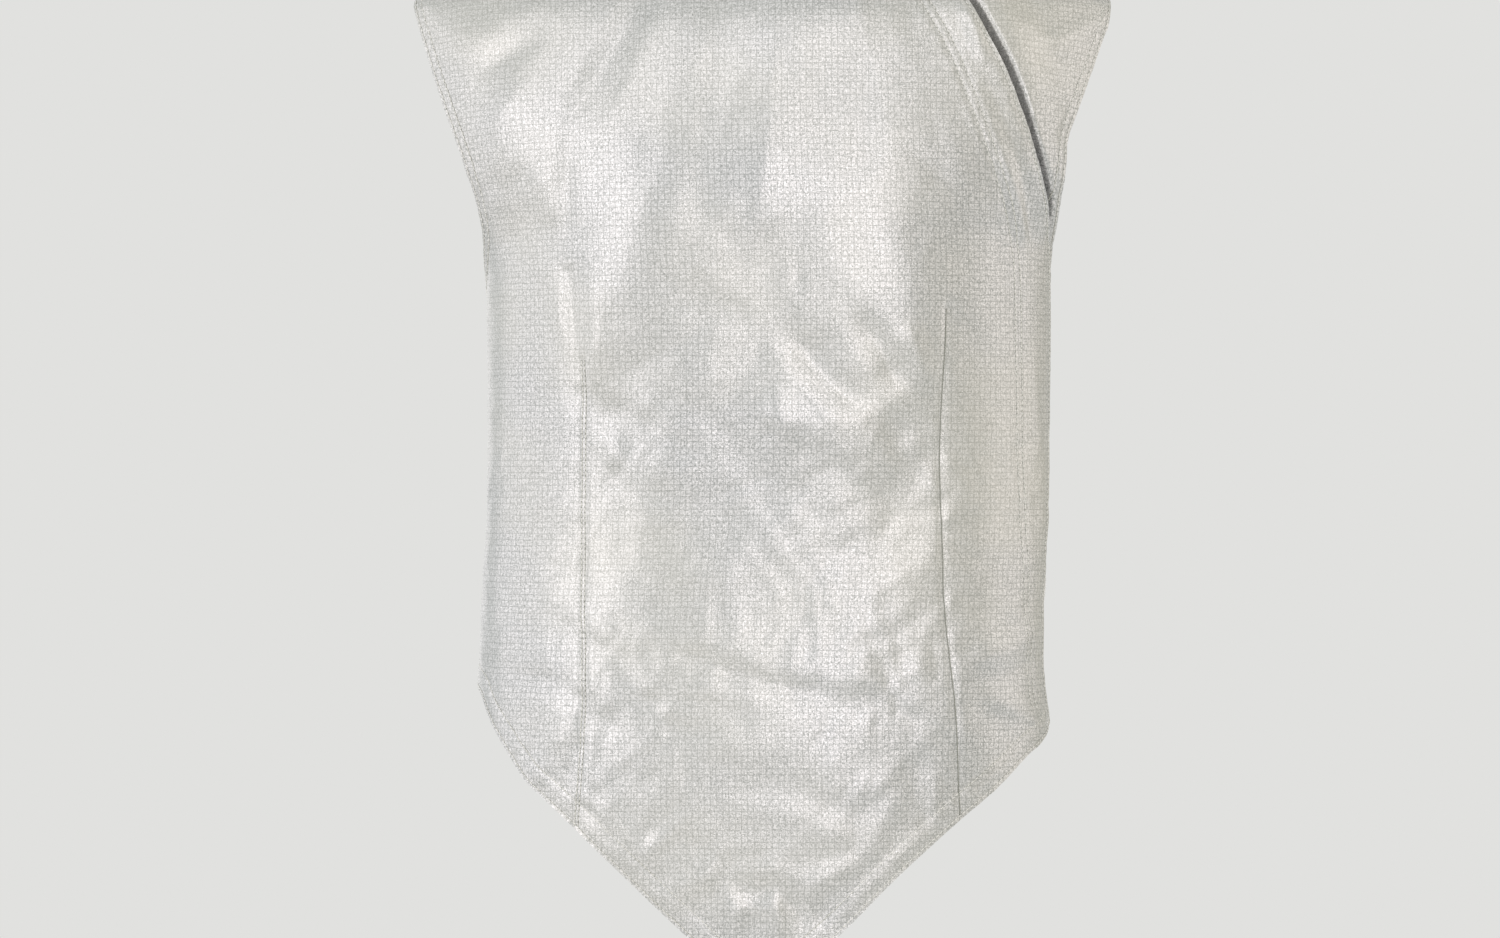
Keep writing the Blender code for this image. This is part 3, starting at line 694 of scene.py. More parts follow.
# %% Creases of the front
# x and z of three places, widths to the left and right of the line, rise
FRONT_CREASES = (
    # chest: the hollow and the two bright planes beside it
    (-66, -30, -99, -94, -124, -142, 11, 22, -3.0),
    (-124, -142, -123, -180, -121, -218, 10, 6, -1.4),
    (-34, -30, -60, -150, -106, -270, 40, 90, 2.6),
    (-31, -58, -40, -110, -46, -164, 14, 8, 0.4),
    (-54, -84, -60, -120, -68, -160, 14, 10, 0.7),
    (-110, -307, -60, -282, -8, -247, 44, 62, -4.0),
    (10, -15, 4, -130, -10, -243, 72, 58, 7.8),
    (42, -10, 70, -110, 88, -205, 60, 30, 2.6),
    (-31, -308, 36, -326, 102, -307, 44, 46, 4.0),
    (-26, -250, -34, -286, -31, -322, 50, 30, 3.0),
    # three short creases under the chest
    (14, -256, 30, -288, 70, -328, 15, 12, -2.8),
    (58, -253, 74, -282, 88, -314, 14, 11, -2.4),
    (4, -300, 11, -332, 14, -362, 10, 13, 1.9),
    (86, -262, 95, -285, 100, -310, 9, 11, 1.8),
    (20, -218, 22, -234, 23, -252, 6, 6, -0.7),
    (86, -154, 102, -166, 120, -180, 10, 10, -0.7),
    (140, -205, 153, -250, 153, -300, 9, 9, -1.3),
    (121, -91, 148, -160, 161, -220, 14, 9, 1.7),
    (124, -60, 132, -82, 138, -106, 8, 6, 2.2),
    (147, -150, 156, -182, 162, -218, 8, 6, 3.4),
    (166, -275, 169, -320, 170, -361, 8, 8, 1.1),
    # left dart: bright ridges beside the dark line above its tip
    (-122, -222, -120, -250, -118, -290, 7, 9, -0.9),
    (-128, -225, -126, -262, -117, -300, 8, 7, 0.7),
    (-112, -232, -104, -270, -112, -302, 7, 13, 1.4),
    (-150, -196, -140, -226, -134, -250, 13, 11, 1.0),
    # right dart: short hollow at the tip
    (116, -246, 116, -262, 115, -276, 6, 7, -1.2),
    (122, -240, 136, -262, 140, -290, 13, 17, 0.8),
    # shoulder drag lines on the right, as worn
    (-200, -96, -180, -84, -140, -72, 10, 12, 0.3),
    (-196, -108, -172, -98, -132, -84, 8, 10, -0.8),
    (-176, -150, -168, -132, -150, -118, 10, 12, 1.1),
    (-170, -170, -160, -154, -150, -136, 8, 10, -0.7),
    (-152, -160, -140, -176, -130, -206, 11, 13, 1.0),
    (-130, -110, -118, -140, -128, -196, 13, 11, -0.8),
    (-184, -178, -166, -176, -146, -166, 10, 14, -0.8),
    # left side under the arm
    (-176, -240, -178, -320, -172, -400, 11, 17, 0.6),
    (-158, -330, -164, -400, -160, -470, 14, 17, -0.3),
    (-140, -390, -142, -440, -136, -480, 11, 11, 0.3),
    # waist
    (-48, -312, -56, -340, -62, -376, 40, 22, 1.8),
    (-104, -316, -76, -326, -46, -342, 10, 11, -0.8),
    (-106, -330, -90, -346, -84, -362, 14, 11, 0.6),
    (-104, -372, -60, -386, -20, -392, 11, 10, 0.4),
    (-108, -412, -84, -402, -30, -398, 9, 8, -0.4),
    (-104, -428, -60, -420, -10, -430, 13, 14, 0.4),
    (-60, -420, -54, -436, -48, -452, 8, 8, -0.4),
    (-10, -360, 20, -376, 40, -404, 13, 13, -0.4),
    (-40, -350, -10, -366, 0, -380, 11, 11, 0.4),
    (14, -384, 50, -372, 86, -384, 14, 17, 0.4),
    (40, -408, 56, -420, 60, -440, 8, 10, -0.4),
    (62, -440, 78, -430, 96, -418, 10, 10, 0.7),
    (52, -420, 74, -410, 98, -400, 8, 11, -0.3),
    (-98, -440, -88, -460, -80, -486, 16, 16, -0.6),
    (-110, -470, -98, -486, -92, -500, 8, 8, 0.5),
    # two long creases above the hem
    (-56, -468, -8, -490, 56, -500, 6, 6, -0.9),
    (-40, -462, 10, -482, 62, -490, 10, 8, 0.5),
    (56, -500, 84, -506, 96, -522, 8, 10, -0.7),
    (-104, -508, -54, -503, -4, -514, 6, 6, -0.9),
    (-100, -516, -56, -514, -10, -526, 8, 11, 0.7),
    (88, -468, 98, -482, 96, -500, 11, 10, 1.1),
    (70, -480, 78, -494, 92, -506, 8, 8, -0.7),
    # arch on the lower left and the folds that fan out from the dart
    (-176, -486, -152, -490, -118, -492, 8, 10, -1.0),
    (-174, -496, -148, -500, -122, -508, 8, 10, 0.9),
    (-118, -512, -130, -524, -148, -552, 8, 8, 1.0),
    (-112, -518, -118, -536, -128, -566, 7, 7, -0.7),
    (-106, -530, -100, -556, -98, -580, 8, 8, 0.6),
    (-92, -500, -100, -530, -106, -556, 7, 8, -0.6),
    # lower right
    (116, -486, 144, -472, 174, -458, 17, 10, 3.8),
    (124, -494, 150, -507, 178, -528, 8, 12, 2.0),
    (118, -460, 124, -500, 128, -540, 8, 8, 0.6),
    (142, -400, 160, -388, 178, -376, 10, 11, -0.7),
    (140, -440, 160, -452, 174, -476, 11, 11, 0.6),
    (100, -520, 96, -560, 84, -600, 13, 13, -0.6),
    # point of the hem
    (-74, -604, -66, -592, -56, -580, 7, 7, 1.7),
    (-60, -596, -54, -604, -44, -620, 7, 8, -1.2),
    (-44, -624, -36, -616, -28, -604, 8, 8, 1.6),
    (-30, -616, -6, -610, 30, -618, 12, 8, 1.9),
    (-26, -640, -10, -634, 14, -636, 10, 8, 1.9),
    (-24, -660, -20, -640, -26, -612, 9, 7, 1.9),
    (-8, -662, -6, -646, -10, -628, 6, 6, -1.4),
    (8, -664, 9, -642, 3, -616, 9, 7, 1.8),
    (24, -656, 24, -640, 20, -624, 6, 6, -1.2),
    (14, -634, 36, -620, 62, -600, 8, 10, 1.7),
    (30, -646, 40, -632, 44, -616, 7, 7, -1.2),
    (-50, -540, -10, -530, 40, -540, 14, 17, 0.7),
    (-30, -570, 6, -560, 50, -572, 14, 14, -0.6),
)

# %% [markdown]
# No one sees the back and the side panel in the front view, but they are worn too. They get creases
# of the same kind: drag lines from the shoulders, and slack at the waist.

# %% Creases of the back and of the side panel
BACK_CREASES = (
    (60, -84, 84, -140, 98, -200, 20, 31, 1.8),
    (-40, -80, -66, -130, -96, -190, 17, 31, 1.8),
    (110, -90, 124, -140, 128, -200, 14, 17, -1.4),
    (-120, -84, -130, -140, -130, -204, 14, 17, -1.3),
    (14, -70, 10, -140, 16, -230, 13, 14, 1.0),
    (-14, -90, -18, -160, -8, -250, 13, 13, -1.0),
    (190, -110, 164, -96, 132, -84, 10, 11, 1.8),
    (184, -130, 160, -116, 136, -108, 8, 10, -1.6),
    (-192, -104, -168, -92, -136, -82, 10, 11, 1.6),
    (-186, -124, -160, -112, -130, -100, 8, 8, -1.7),
    (168, -190, 150, -200, 128, -230, 11, 13, 1.3),
    (-166, -186, -148, -206, -132, -244, 11, 13, -1.3),
    (120, -300, 90, -330, 50, -352, 13, 13, -1.6),
    (-126, -290, -92, -322, -40, -340, 13, 14, 1.4),
    (-110, -312, -80, -340, -44, -356, 10, 10, -1.4),
    (160, -352, 110, -372, 60, -372, 10, 11, 1.6),
    (156, -366, 100, -388, 40, -384, 8, 10, -1.8),
    (-164, -356, -110, -372, -48, -368, 10, 11, -1.6),
    (-160, -372, -104, -388, -40, -384, 10, 10, 1.7),
    (-60, -398, 0, -406, 74, -398, 11, 11, 1.3),
    (-90, -416, -20, -424, 60, -414, 10, 10, -1.7),
    (170, -410, 120, -424, 70, -440, 11, 13, 1.3),
    (-168, -404, -130, -424, -84, -436, 10, 11, -1.3),
    (-40, -446, 10, -452, 60, -446, 13, 13, 1.0),
    (120, -452, 90, -466, 60, -486, 10, 10, -1.0),
    (-110, -450, -100, -470, -96, -490, 10, 10, 1.2),
)
UNDER_CREASES = (
    (158, -66, 174, -80, 196, -88, 8, 8, 1.1),
    (164, -92, 180, -98, 204, -100, 8, 8, -1.0),
    (168, -118, 184, -116, 200, -116, 8, 8, 1.0),
    (180, -150, 190, -142, 200, -136, 7, 7, -0.9),
    (176, -262, 180, -290, 180, -320, 10, 10, 0.8),
    (180, -380, 181, -410, 180, -440, 10, 10, -0.8),
)

# %% [markdown]
# A crease's profile is a roof with a rounded ridge. It fades towards both ends and stops past its
# flanks, so that creases can cross without a step.

# %% Height of the creases
CREASE_FLANK, CREASE_ROUND, CREASE_RIDGE = 1.03, 0.08, 1.6
CREASE_TAPER, CREASE_END_SHARE = 0.35, 0.1
CREASE_REACH = 1.5


def crease_rise(across, z, creases, on_back=False):
    """Height of the creases: two flat flanks that meet in a rounded edge and fade at the ends."""
    rise = np.zeros_like(across)
    for row in creases:
        places = np.array(row[:6], float).reshape(3, 2)
        left_width, right_width, height = row[6:]
        start, middle, end = np.stack(
            [seen_across(places[:, 0], places[:, 1], on_back), places[:, 1]], axis=1
        )
        t = np.linspace(0, 1, 9)[:, None]
        pull = 2 * middle - (start + end) / 2
        line = (1 - t) ** 2 * start + 2 * t * (1 - t) * pull + t**2 * end
        reach = CREASE_REACH * max(left_width, right_width)
        low, high = line.min(axis=0) - reach, line.max(axis=0) + reach
        near = (across > low[0]) & (across < high[0]) & (z > low[1]) & (z < high[1])
        if not near.any():
            continue
        distance, along = nearest(across[near], z[near], line)
        length = np.linalg.norm(np.diff(line, axis=0), axis=1).sum()
        width = np.where(distance > 0, right_width, left_width)
        flank = CREASE_FLANK - np.hypot(distance / width, CREASE_RIDGE / width)
        profile = (flank + np.hypot(flank, CREASE_ROUND)) / 2
        fade = CREASE_TAPER * length
        taper = smooth_share(along / fade) * smooth_share((length - along) / fade)
        profile *= smooth_share((CREASE_REACH - np.abs(distance) / width) / 0.4)
        rise[near] += height * profile * (CREASE_END_SHARE + (1 - CREASE_END_SHARE) * taper)
    return rise


creases = [len(rows) for rows in (FRONT_CREASES, BACK_CREASES, UNDER_CREASES)]
print("creases in front, behind and beside:", creases)

# %% [markdown]
# Between the folds the metal thread keeps small dents, because it bends and stays bent, as paper does.
# A wave with flat flanks and sharp edges gives such facets. Several waves cross at odd angles, and
# smooth noise bends them and lets them fade, so that no two facets are alike. Most of them lie at the
# waist.


# %% Small dents
def noise_at(x, y, seed):
    """Smooth noise from about -1 to 1 at each place."""
    return np.array([noise.noise((a, b, seed)) for a, b in zip(x, y)])


# Angle to the level, wavelength, height at the chest and height at the waist, in degrees and mm
DENT_WAVES = (
    (66, 92, 0.0, 0.7),
    (-54, 76, 0.0, 0.5),
    (84, 46, 0.25, 0.12),
    (66, 31, 0.12, 0.22),
    (-20, 54, 0.1, 0.32),
    (16, 34, 0.06, 0.22),
    (-44, 37, 0.12, 0.36),
    (38, 27, 0.08, 0.3),
    (-66, 20, 0.06, 0.2),
    (58, 17, 0.04, 0.16),
    (20, 12, 0.04, 0.1),
)
WAIST_TOP_Z, WAIST_BAND = -280, 80
RIPPLE_HEIGHT, RIPPLE_SIZE = 0.08, 9
DENT_BEND, FACET_EDGE = 0.85, 0.985


def dents(across, z, seed):
    """Height of the small dents at each place."""
    waist = smooth_share((WAIST_TOP_Z - z) / WAIST_BAND)
    rise = RIPPLE_HEIGHT * noise_at(across / RIPPLE_SIZE, z / RIPPLE_SIZE, seed)
    for number, (angle, length, chest_height, waist_height) in enumerate(DENT_WAVES):
        turn = math.radians(angle + 90)
        away = across * math.cos(turn) + z * math.sin(turn)
        bend = noise_at(across / (1.3 * length), z / (1.3 * length), seed + 2 * number + 1)
        patch = noise_at(across / (2.2 * length), z / (2.2 * length), seed + 2 * number + 2)
        kept = smooth_share(0.4 + 1.8 * patch)
        phase = (away / length + DENT_BEND * bend) * 2 * math.pi
        facet = np.arcsin(FACET_EDGE * np.sin(phase)) * 2 / math.pi
        rise += ((1 - waist) * chest_height + waist * waist_height) * kept * facet
    return rise


print(len(DENT_WAVES), "waves of dents, the longest", max(row[1] for row in DENT_WAVES), "mm")

# %% [markdown]
# ## Seams, darts and stitched edges
#
# A dart is a wedge of cloth taken up by a seam, and its line lies in a shallow groove. A stitched
# edge is folded under, so it is thicker as far as its stitches, and the thread gathers the cloth a
# little along them. Those lines are kept here, because both the cloth and its thread follow them.

# %% Lines of stitching
# As in the outlines, each place is a turn and a height
FLAP_STITCH = (
    (0.364, -60), (0.415, -90), (0.467, -127), (0.538, -167), (0.623, -204), (0.660, -240),
    (0.672, -290), (0.682, -343), (0.705, -390), (0.728, -438), (0.740, -480), (0.764, -512),
)
LEFT_DART = (
    (-0.482, -288), (-0.487, -347), (-0.484, -411), (-0.466, -470), (-0.466, -530), (-0.489, -584),
)
RIGHT_DART = (
    (0.455, -255), (0.452, -352), (0.472, -420), (0.492, -470), (0.510, -510), (0.531, -578),
)
FLAP_ROW_GAP, DART_ROW_GAP = 5.0, 2.2
EDGE_INSET = 2.2
ARMHOLE_INSET = 8.0
FACING_INSET = 14.0


def part_of(line, start, end):
    """The stretch of a line between two shares of its length."""
    count = len(line) - 1
    return line[round(start * count) : round(end * count) + 1]


front_top, front_hem, front_left, _ = front_borders
back_top, back_hem, back_left, back_right = back_borders
under_top, under_hem, _, under_right = under_borders
front_armhole = front_left[: ARMHOLE_CELLS + 1]
under_armhole = under_right[: UNDER_ARMHOLE_CELLS + 1]
back_armholes = (back_left[: ARMHOLE_CELLS + 1], back_right[: ARMHOLE_CELLS + 1])
flap_stitch = outline(FLAP_STITCH, 90)
left_dart = outline(LEFT_DART, 60)
right_dart = outline(RIGHT_DART, 60)

# %% [markdown]
# Each row of thread is an edge or a dart moved sideways by its distance from it. A part of a line is
# left out where another panel covers it.

# %% Rows on each panel
FRONT_ROWS = (
    flap_stitch,
    offset_line(flap_stitch, -FLAP_ROW_GAP),
    offset_line(FLAP_LINE, EDGE_INSET),
    left_dart,
    offset_line(left_dart, DART_ROW_GAP),
    offset_line(front_armhole, -EDGE_INSET),
    offset_line(front_armhole, -ARMHOLE_INSET),
    offset_line(front_hem, -EDGE_INSET),
    part_of(offset_line(front_hem, -FACING_INSET), 0.02, 0.985),
)
BACK_ROWS = (
    offset_line(back_hem, -EDGE_INSET),
    offset_line(back_hem, -FACING_INSET),
    offset_line(back_armholes[0], -EDGE_INSET),
    offset_line(back_armholes[0], -ARMHOLE_INSET),
    offset_line(back_armholes[1], EDGE_INSET),
    offset_line(back_armholes[1], ARMHOLE_INSET),
)
UNDER_ROWS = (
    offset_line(under_armhole, EDGE_INSET),
    offset_line(under_armhole, ARMHOLE_INSET),
    part_of(offset_line(under_hem, -EDGE_INSET), 0.3, 1),
    part_of(offset_line(under_hem, -FACING_INSET), 0.3, 1),
)
print("rows of stitches:", [len(rows) for rows in (FRONT_ROWS, BACK_ROWS, UNDER_ROWS)])

# %% [markdown]
# The next functions give the height that the sewing adds: a groove and small gathers along each row,
# a second layer of cloth in a folded edge, and the roll of a seam. All are in millimetres.

# %% Height of the sewing
GROOVE_DEPTH, GROOVE_HALF = 0.45, 1.9
GATHER_HEIGHT, GATHER_HALF, GATHER_LENGTH = 0.42, 5.0, 5.5
ROW_REACH = 14
EDGE_LAYER, EDGE_SLOPE = 0.5, 2.5
SEAM_DEPTH, SEAM_HALF = 0.6, 2.4


def bell(distance, half_width):
    """1 on a line, falling away evenly to both sides of it."""
    return np.exp(-((distance / half_width) ** 2))


def row_rise(across, z, rows, seed):
    """The groove that each row of stitches makes, and the gathers beside it."""
    rise = np.zeros_like(across)
    for number, row in enumerate(rows):
        distance, along = nearest(across, z, row[::3])
        near = np.abs(distance) < ROW_REACH
        gathers = noise_at(along[near] / GATHER_LENGTH, np.full(near.sum(), number * 7.3), seed)
        gap = distance[near]
        sunk = -GROOVE_DEPTH * bell(gap, GROOVE_HALF)
        rise[near] += sunk + GATHER_HEIGHT * gathers * bell(gap, GATHER_HALF)
    return rise


def edge_rise(across, z, border, band):
    """The extra thickness of a folded edge, as far as its stitches."""
    distance = np.abs(nearest(across, z, border[::3])[0])
    return EDGE_LAYER * smooth_share((band - distance) / EDGE_SLOPE)


def seam_roll(across, z, *seams):
    """How far a sewn edge rolls in towards its seam."""
    return -SEAM_DEPTH * sum(bell(nearest(across, z, seam[::3])[0], SEAM_HALF) for seam in seams)


front_seams = (front_top[: SEAM_CELLS + 1], front_left[ARMHOLE_CELLS:])
back_seams = (
    back_top[: BACK_SEAM_CELLS + 1],
    back_top[-BACK_SEAM_CELLS - 1 :],
    back_left[ARMHOLE_CELLS:],
    back_right[ARMHOLE_CELLS:],
)
under_seams = (under_top[UNDER_NECK_CELLS:], under_right[UNDER_ARMHOLE_CELLS:])

# %% [markdown]
# Each panel's height is the sum of its folds, creases, dents and sewing. Seams hold the cloth, so
# the folds fade near them and the two sides of a seam meet. The flap stands off the garment along
# its edge and rolls a little, and the side panel is puffed out beside it, which leaves a dark slot.

# %% Where the cloth is held
HELD_SHARE, HELD_BAND = 0.1, 24
DART_DEPTH, DART_HALF = 0.55, 2.2
FLAP_LAYER, FLAP_ROLL, FLAP_ROLL_HALF = 0.9, 3.0, 15
YOKE_PUFF, PUFF_FROM, PUFF_BAND = 6.5, 3.5, 5
YOKE_WIDTH, YOKE_FADE, SLOT_DEPTH = 45, 30, 5.0
# Start and its band, end and its band
FLAP_STANDS, YOKE_HEIGHTS, SLOT_PLACE = (-215, 60, -45, 30), (-230, 60, -40, 20), (-12, 8, 5, 5)


def between(value, start, start_band, end, end_band):
    """1 between a start and an end, with an even way up after one and down before the other."""
    return smooth_share((value - start) / start_band) * smooth_share((end - value) / end_band)


def near_border(across, z, *lines):
    """A small share on the borders, where seams hold the cloth flat, that grows to 1 inside."""
    nearness = np.min([np.abs(nearest(across, z, line)[0]) for line in lines], axis=0)
    return HELD_SHARE + (1 - HELD_SHARE) * smooth_share(nearness / HELD_BAND)

# %% [markdown]
# The front is the loosest panel. Where the flap lifts it off, the folds fade and the creases get
# lower, because there it lies on other cloth.


# %% Height of the front
def front_rise(across, z):
    """Height of the front, with its flap."""
    flap = flap_rise(across, z)
    loose = 1 - flap / FLAP_RISE
    held = near_border(across, z, *front_seams)
    rise = flap + fold_rise(across, z, FRONT_FOLDS) * loose * held
    rise += crease_rise(across, z, FRONT_CREASES) * (0.75 + 0.25 * loose) * held
    border = near_border(across, z, front_hem, front_armhole, *front_seams)
    rise += dents(across, z, 0.5) * (0.55 + 0.45 * loose) * border
    rise += row_rise(across, z, FRONT_ROWS, 2.5)
    for dart in (left_dart, right_dart):
        rise -= DART_DEPTH * bell(nearest(across, z, dart[::3])[0], DART_HALF)
    rise += edge_rise(across, z, front_hem, FACING_INSET + 1) + seam_roll(across, z, *front_seams)
    rise += edge_rise(across, z, front_armhole, ARMHOLE_INSET + 1)
    edge = np.abs(nearest(across, z, FLAP_LINE[::4])[0])
    roll = FLAP_ROLL * between(z, *FLAP_STANDS) * bell(edge, FLAP_ROLL_HALF)
    return rise + FLAP_LAYER * (1 - loose) + roll


print("mid chest:", front_rise(np.array([0.0]), np.array([-200.0])).round(1)[0], "mm off the form")

# %% [markdown]
# The back is calmer, and hangs from the shoulders in long slack folds.


# %% Height of the back
def back_rise(across, z):
    """Height of the back."""
    rise = fold_rise(across, z, BACK_FOLDS) + crease_rise(across, z, BACK_CREASES, True)
    rise *= near_border(across, z, *back_seams)
    rise += dents(across, z, 20.5) * near_border(across, z, back_hem, *back_armholes, *back_seams)
    rise += row_rise(across, z, BACK_ROWS, 4.5)
    rise += edge_rise(across, z, back_hem, FACING_INSET + 1) + seam_roll(across, z, *back_seams)
    for armhole in back_armholes:
        rise += edge_rise(across, z, armhole, ARMHOLE_INSET + 1)
    return rise


print("mid back:", back_rise(np.array([0.0]), np.array([-200.0])).round(1)[0], "mm off the form")

# %% [markdown]
# The side panel lies flat where the flap covers it. Beside the flap's edge it sinks into the slot and
# then swells to the yoke, and the shade in that slot is the dark line of the real one.


# %% Height of the side panel
def under_rise(across, z):
    """Height of the side panel, plain where the flap covers it."""
    covered = flap_rise(across, z) / FLAP_RISE
    outside = across > np.interp(-z, -FLAP_LINE[:, 1], FLAP_LINE[:, 0])
    free = np.where(outside, 1, 1 - covered)
    beside = nearest(across, z, FLAP_LINE[::4])[0]
    beyond = smooth_share(beside / 8)
    rise = fold_rise(across, z, UNDER_FOLDS) * free
    rise += (crease_rise(across, z, UNDER_CREASES) + 0.7 * dents(across, z, 40.5)) * beyond
    rise *= near_border(across, z, *under_seams)
    puffed = YOKE_PUFF * smooth_share((beside - PUFF_FROM) / PUFF_BAND)
    puffed -= SLOT_DEPTH * between(beside, *SLOT_PLACE)
    rise += between(z, *YOKE_HEIGHTS) * puffed * smooth_share((YOKE_WIDTH - beside) / YOKE_FADE)
    rise += row_rise(across, z, UNDER_ROWS, 6.5) + seam_roll(across, z, *under_seams)
    return rise + edge_rise(across, z, under_armhole, ARMHOLE_INSET + 1) * beyond


print("yoke:", under_rise(np.array([215.0]), np.array([-120.0])).round(1)[0], "mm off the form")


# %% [markdown]
# ## Cutting and hanging the panels
#
# Each panel starts as a flat grid, as a cut piece of cloth does. Its points are then laid on the
# form, with the pattern kept as the UV map in metres, so that the weave follows the cloth. Solidify
# gives it its thickness on the inner side.

# %% Selection and modifiers
def deselect():
    """Clears the selection, because an operator acts on all that is selected."""
    bpy.ops.object.select_all(action="DESELECT")


def apply_modifier(piece, kind, **settings):
    """Adds a modifier to a piece and applies it."""
    deselect()
    piece.select_set(True)
    bpy.context.view_layer.objects.active = piece
    modifier = piece.modifiers.new(kind.title(), kind)
    for name, value in settings.items():
        setattr(modifier, name, value)
    bpy.ops.object.modifier_apply(modifier=modifier.name)


# %% [markdown]
# A flat point's place is on the form, moved out by its height. The grid is a primitive of the right
# number of cells, whose points are then put in their places. Its UV map comes with it.

# %% Panel maker
CLOTH, SHELL_LIFT = 1.1, 1.4
SMOOTH_BELOW = math.radians(60)


def surface(points, rise, on_back=False):
    """Where flat pattern points lie on the form, in millimetres, and the way out there."""
    across, z = points[:, 0], points[:, 1]
    turn = to_turn(across, z, on_back)
    normals = form_normals(turn, z)
    return form_points(turn, z) + normals * (rise + SHELL_LIFT)[:, None], normals


def cloth_piece(name, node, points, flat):
    """A shell through a grid of points, with the flat pattern as its UV map."""
    rows, columns = points.shape[:2]
    deselect()
    bpy.ops.mesh.primitive_grid_add(x_subdivisions=columns - 1, y_subdivisions=rows - 1, size=2)
    piece = bpy.context.object
    piece.name = name
    mesh = piece.data
    mesh.name = name
    places = np.empty(len(mesh.vertices) * 3)
    mesh.vertices.foreach_get("co", places)
    places = places.reshape(-1, 3)
    column = np.rint((places[:, 0] + 1) / 2 * (columns - 1)).astype(int)
    row = np.rint((1 - places[:, 1]) / 2 * (rows - 1)).astype(int)
    mesh.vertices.foreach_set("co", (points[row, column] * MM).ravel())
    corners = np.empty(len(mesh.loops), dtype=np.int64)
    mesh.loops.foreach_get("vertex_index", corners)
    mesh.uv_layers[0].name = "pattern"
    mesh.uv_layers[0].data.foreach_set("uv", (flat[row, column][corners] * MM).ravel())
    mesh.update()
    apply_modifier(piece, "SOLIDIFY", thickness=CLOTH * MM, offset=-1)
    deselect()
    piece.select_set(True)
    bpy.ops.object.shade_smooth_by_angle(angle=SMOOTH_BELOW)
    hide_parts(node)
    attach(piece, "root")
    print(name, len(mesh.polygons), "faces")
    return piece


# %% [markdown]
# On a sloping shoulder the cloth is longer than the height that it spans. The cut pattern therefore
# takes its lengths down the form, from the level of the chest, and the weave keeps its size.

# %% The cut pattern
CHEST_LEVEL = -240.0
CUT_TOP, CUT_BOTTOM, CUT_STEP, CUT_TURNS = 20.0, -725.0, 5.0, 25


def cut_pattern(flat, on_back=False):
    """The flat pattern with its lengths taken down the form."""
    levels = np.arange(CUT_TOP, CUT_BOTTOM, -CUT_STEP)
    turns = np.linspace(0, 2, CUT_TURNS)
    lengths = []
    for turn in turns:
        line = form_points(np.full(len(levels), turn), levels)
        run = np.concatenate([[0], np.cumsum(np.linalg.norm(np.diff(line, axis=0), axis=1))])
        lengths.append(np.interp(-CHEST_LEVEL, -levels, run) + CHEST_LEVEL - run)
    lengths = np.array(lengths)
    across, z = flat[..., 0].ravel(), flat[..., 1].ravel()
    turn = np.abs((to_turn(across, z, on_back) + 2) % 4 - 2) * (len(turns) - 1) / 2
    level = (CUT_TOP - z) / CUT_STEP
    i, j = np.minimum(turn.astype(int), len(turns) - 2), level.astype(int)
    p, q = turn - i, level - j
    upper = (1 - p) * lengths[i, j] + p * lengths[i + 1, j]
    lower = (1 - p) * lengths[i, j + 1] + p * lengths[i + 1, j + 1]
    return np.stack([across, (1 - q) * upper + q * lower], axis=1).reshape(flat.shape)

# %% [markdown]
# Then the three panels are cut and hung.


def hang(name, node, borders, rise, on_back=False):
    """Cuts a panel from its border lines and hangs it on the form."""
    flat = filled(*borders)
    level = flat.reshape(-1, 2)
    points, normals = surface(level, rise(level[:, 0], level[:, 1]), on_back)
    points, normals = points.reshape(*flat.shape[:2], 3), normals.reshape(*flat.shape[:2], 3)
    cut = cut_pattern(flat, on_back)
    piece = cloth_piece(name, node, points, cut)
    return piece, points, normals


front_cloth, *front_hung = hang("front_cloth", "front_panel", front_borders, front_rise)
back_cloth, *back_hung = hang("back_cloth", "back_panel", back_borders, back_rise, True)
under_cloth, *under_hung = hang("side_cloth", "side_panel", under_borders, under_rise)

# %% [markdown]
# ## Collar
#
# The stand collar is a strip sewn to the neck edges of the three panels. It turns up out of the
# seam and leans in a little, and its front end crosses over its other end with the flap.

# %% Neck edges
COLLAR_HEIGHT, COLLAR_LEVELLING, COLLAR_LEAN = 46.0, 0.22, 0.16
COLLAR_BEND, COLLAR_LAP, COLLAR_LIFT = 2.5, 2.2, 1.2
COLLAR_RIPPLE, COLLAR_FOLD, COLLAR_FOLD_DEPTH = 0.7, 0.45, 6
COLLAR_ROWS = 30
SEAT_LIFT, INNER_ROW = 0.2, 6


def unit(vectors):
    """The same directions, each of length 1."""
    return vectors / np.linalg.norm(vectors, axis=-1, keepdims=True)


def neck_stations(points, normals, first, count):
    """Edge points, outward directions and steps into the neck along a panel's edge."""
    part = slice(first, first + count + 1)
    sunk = SHELL_LIFT - SEAT_LIFT
    edge, inner = [points[row, part] - sunk * normals[row, part] for row in (0, INNER_ROW)]
    along = unit(np.gradient(edge, axis=0))
    step = edge - inner
    step -= (step * along).sum(axis=1)[:, None] * along
    return np.stack([edge, normals[0, part], unit(step)])

# %% [markdown]
# The collar's rows are made from its top edge down to the seam. It stands a little further out where
# its front end laps over, and it is thicker at the top, where the cloth is folded in.


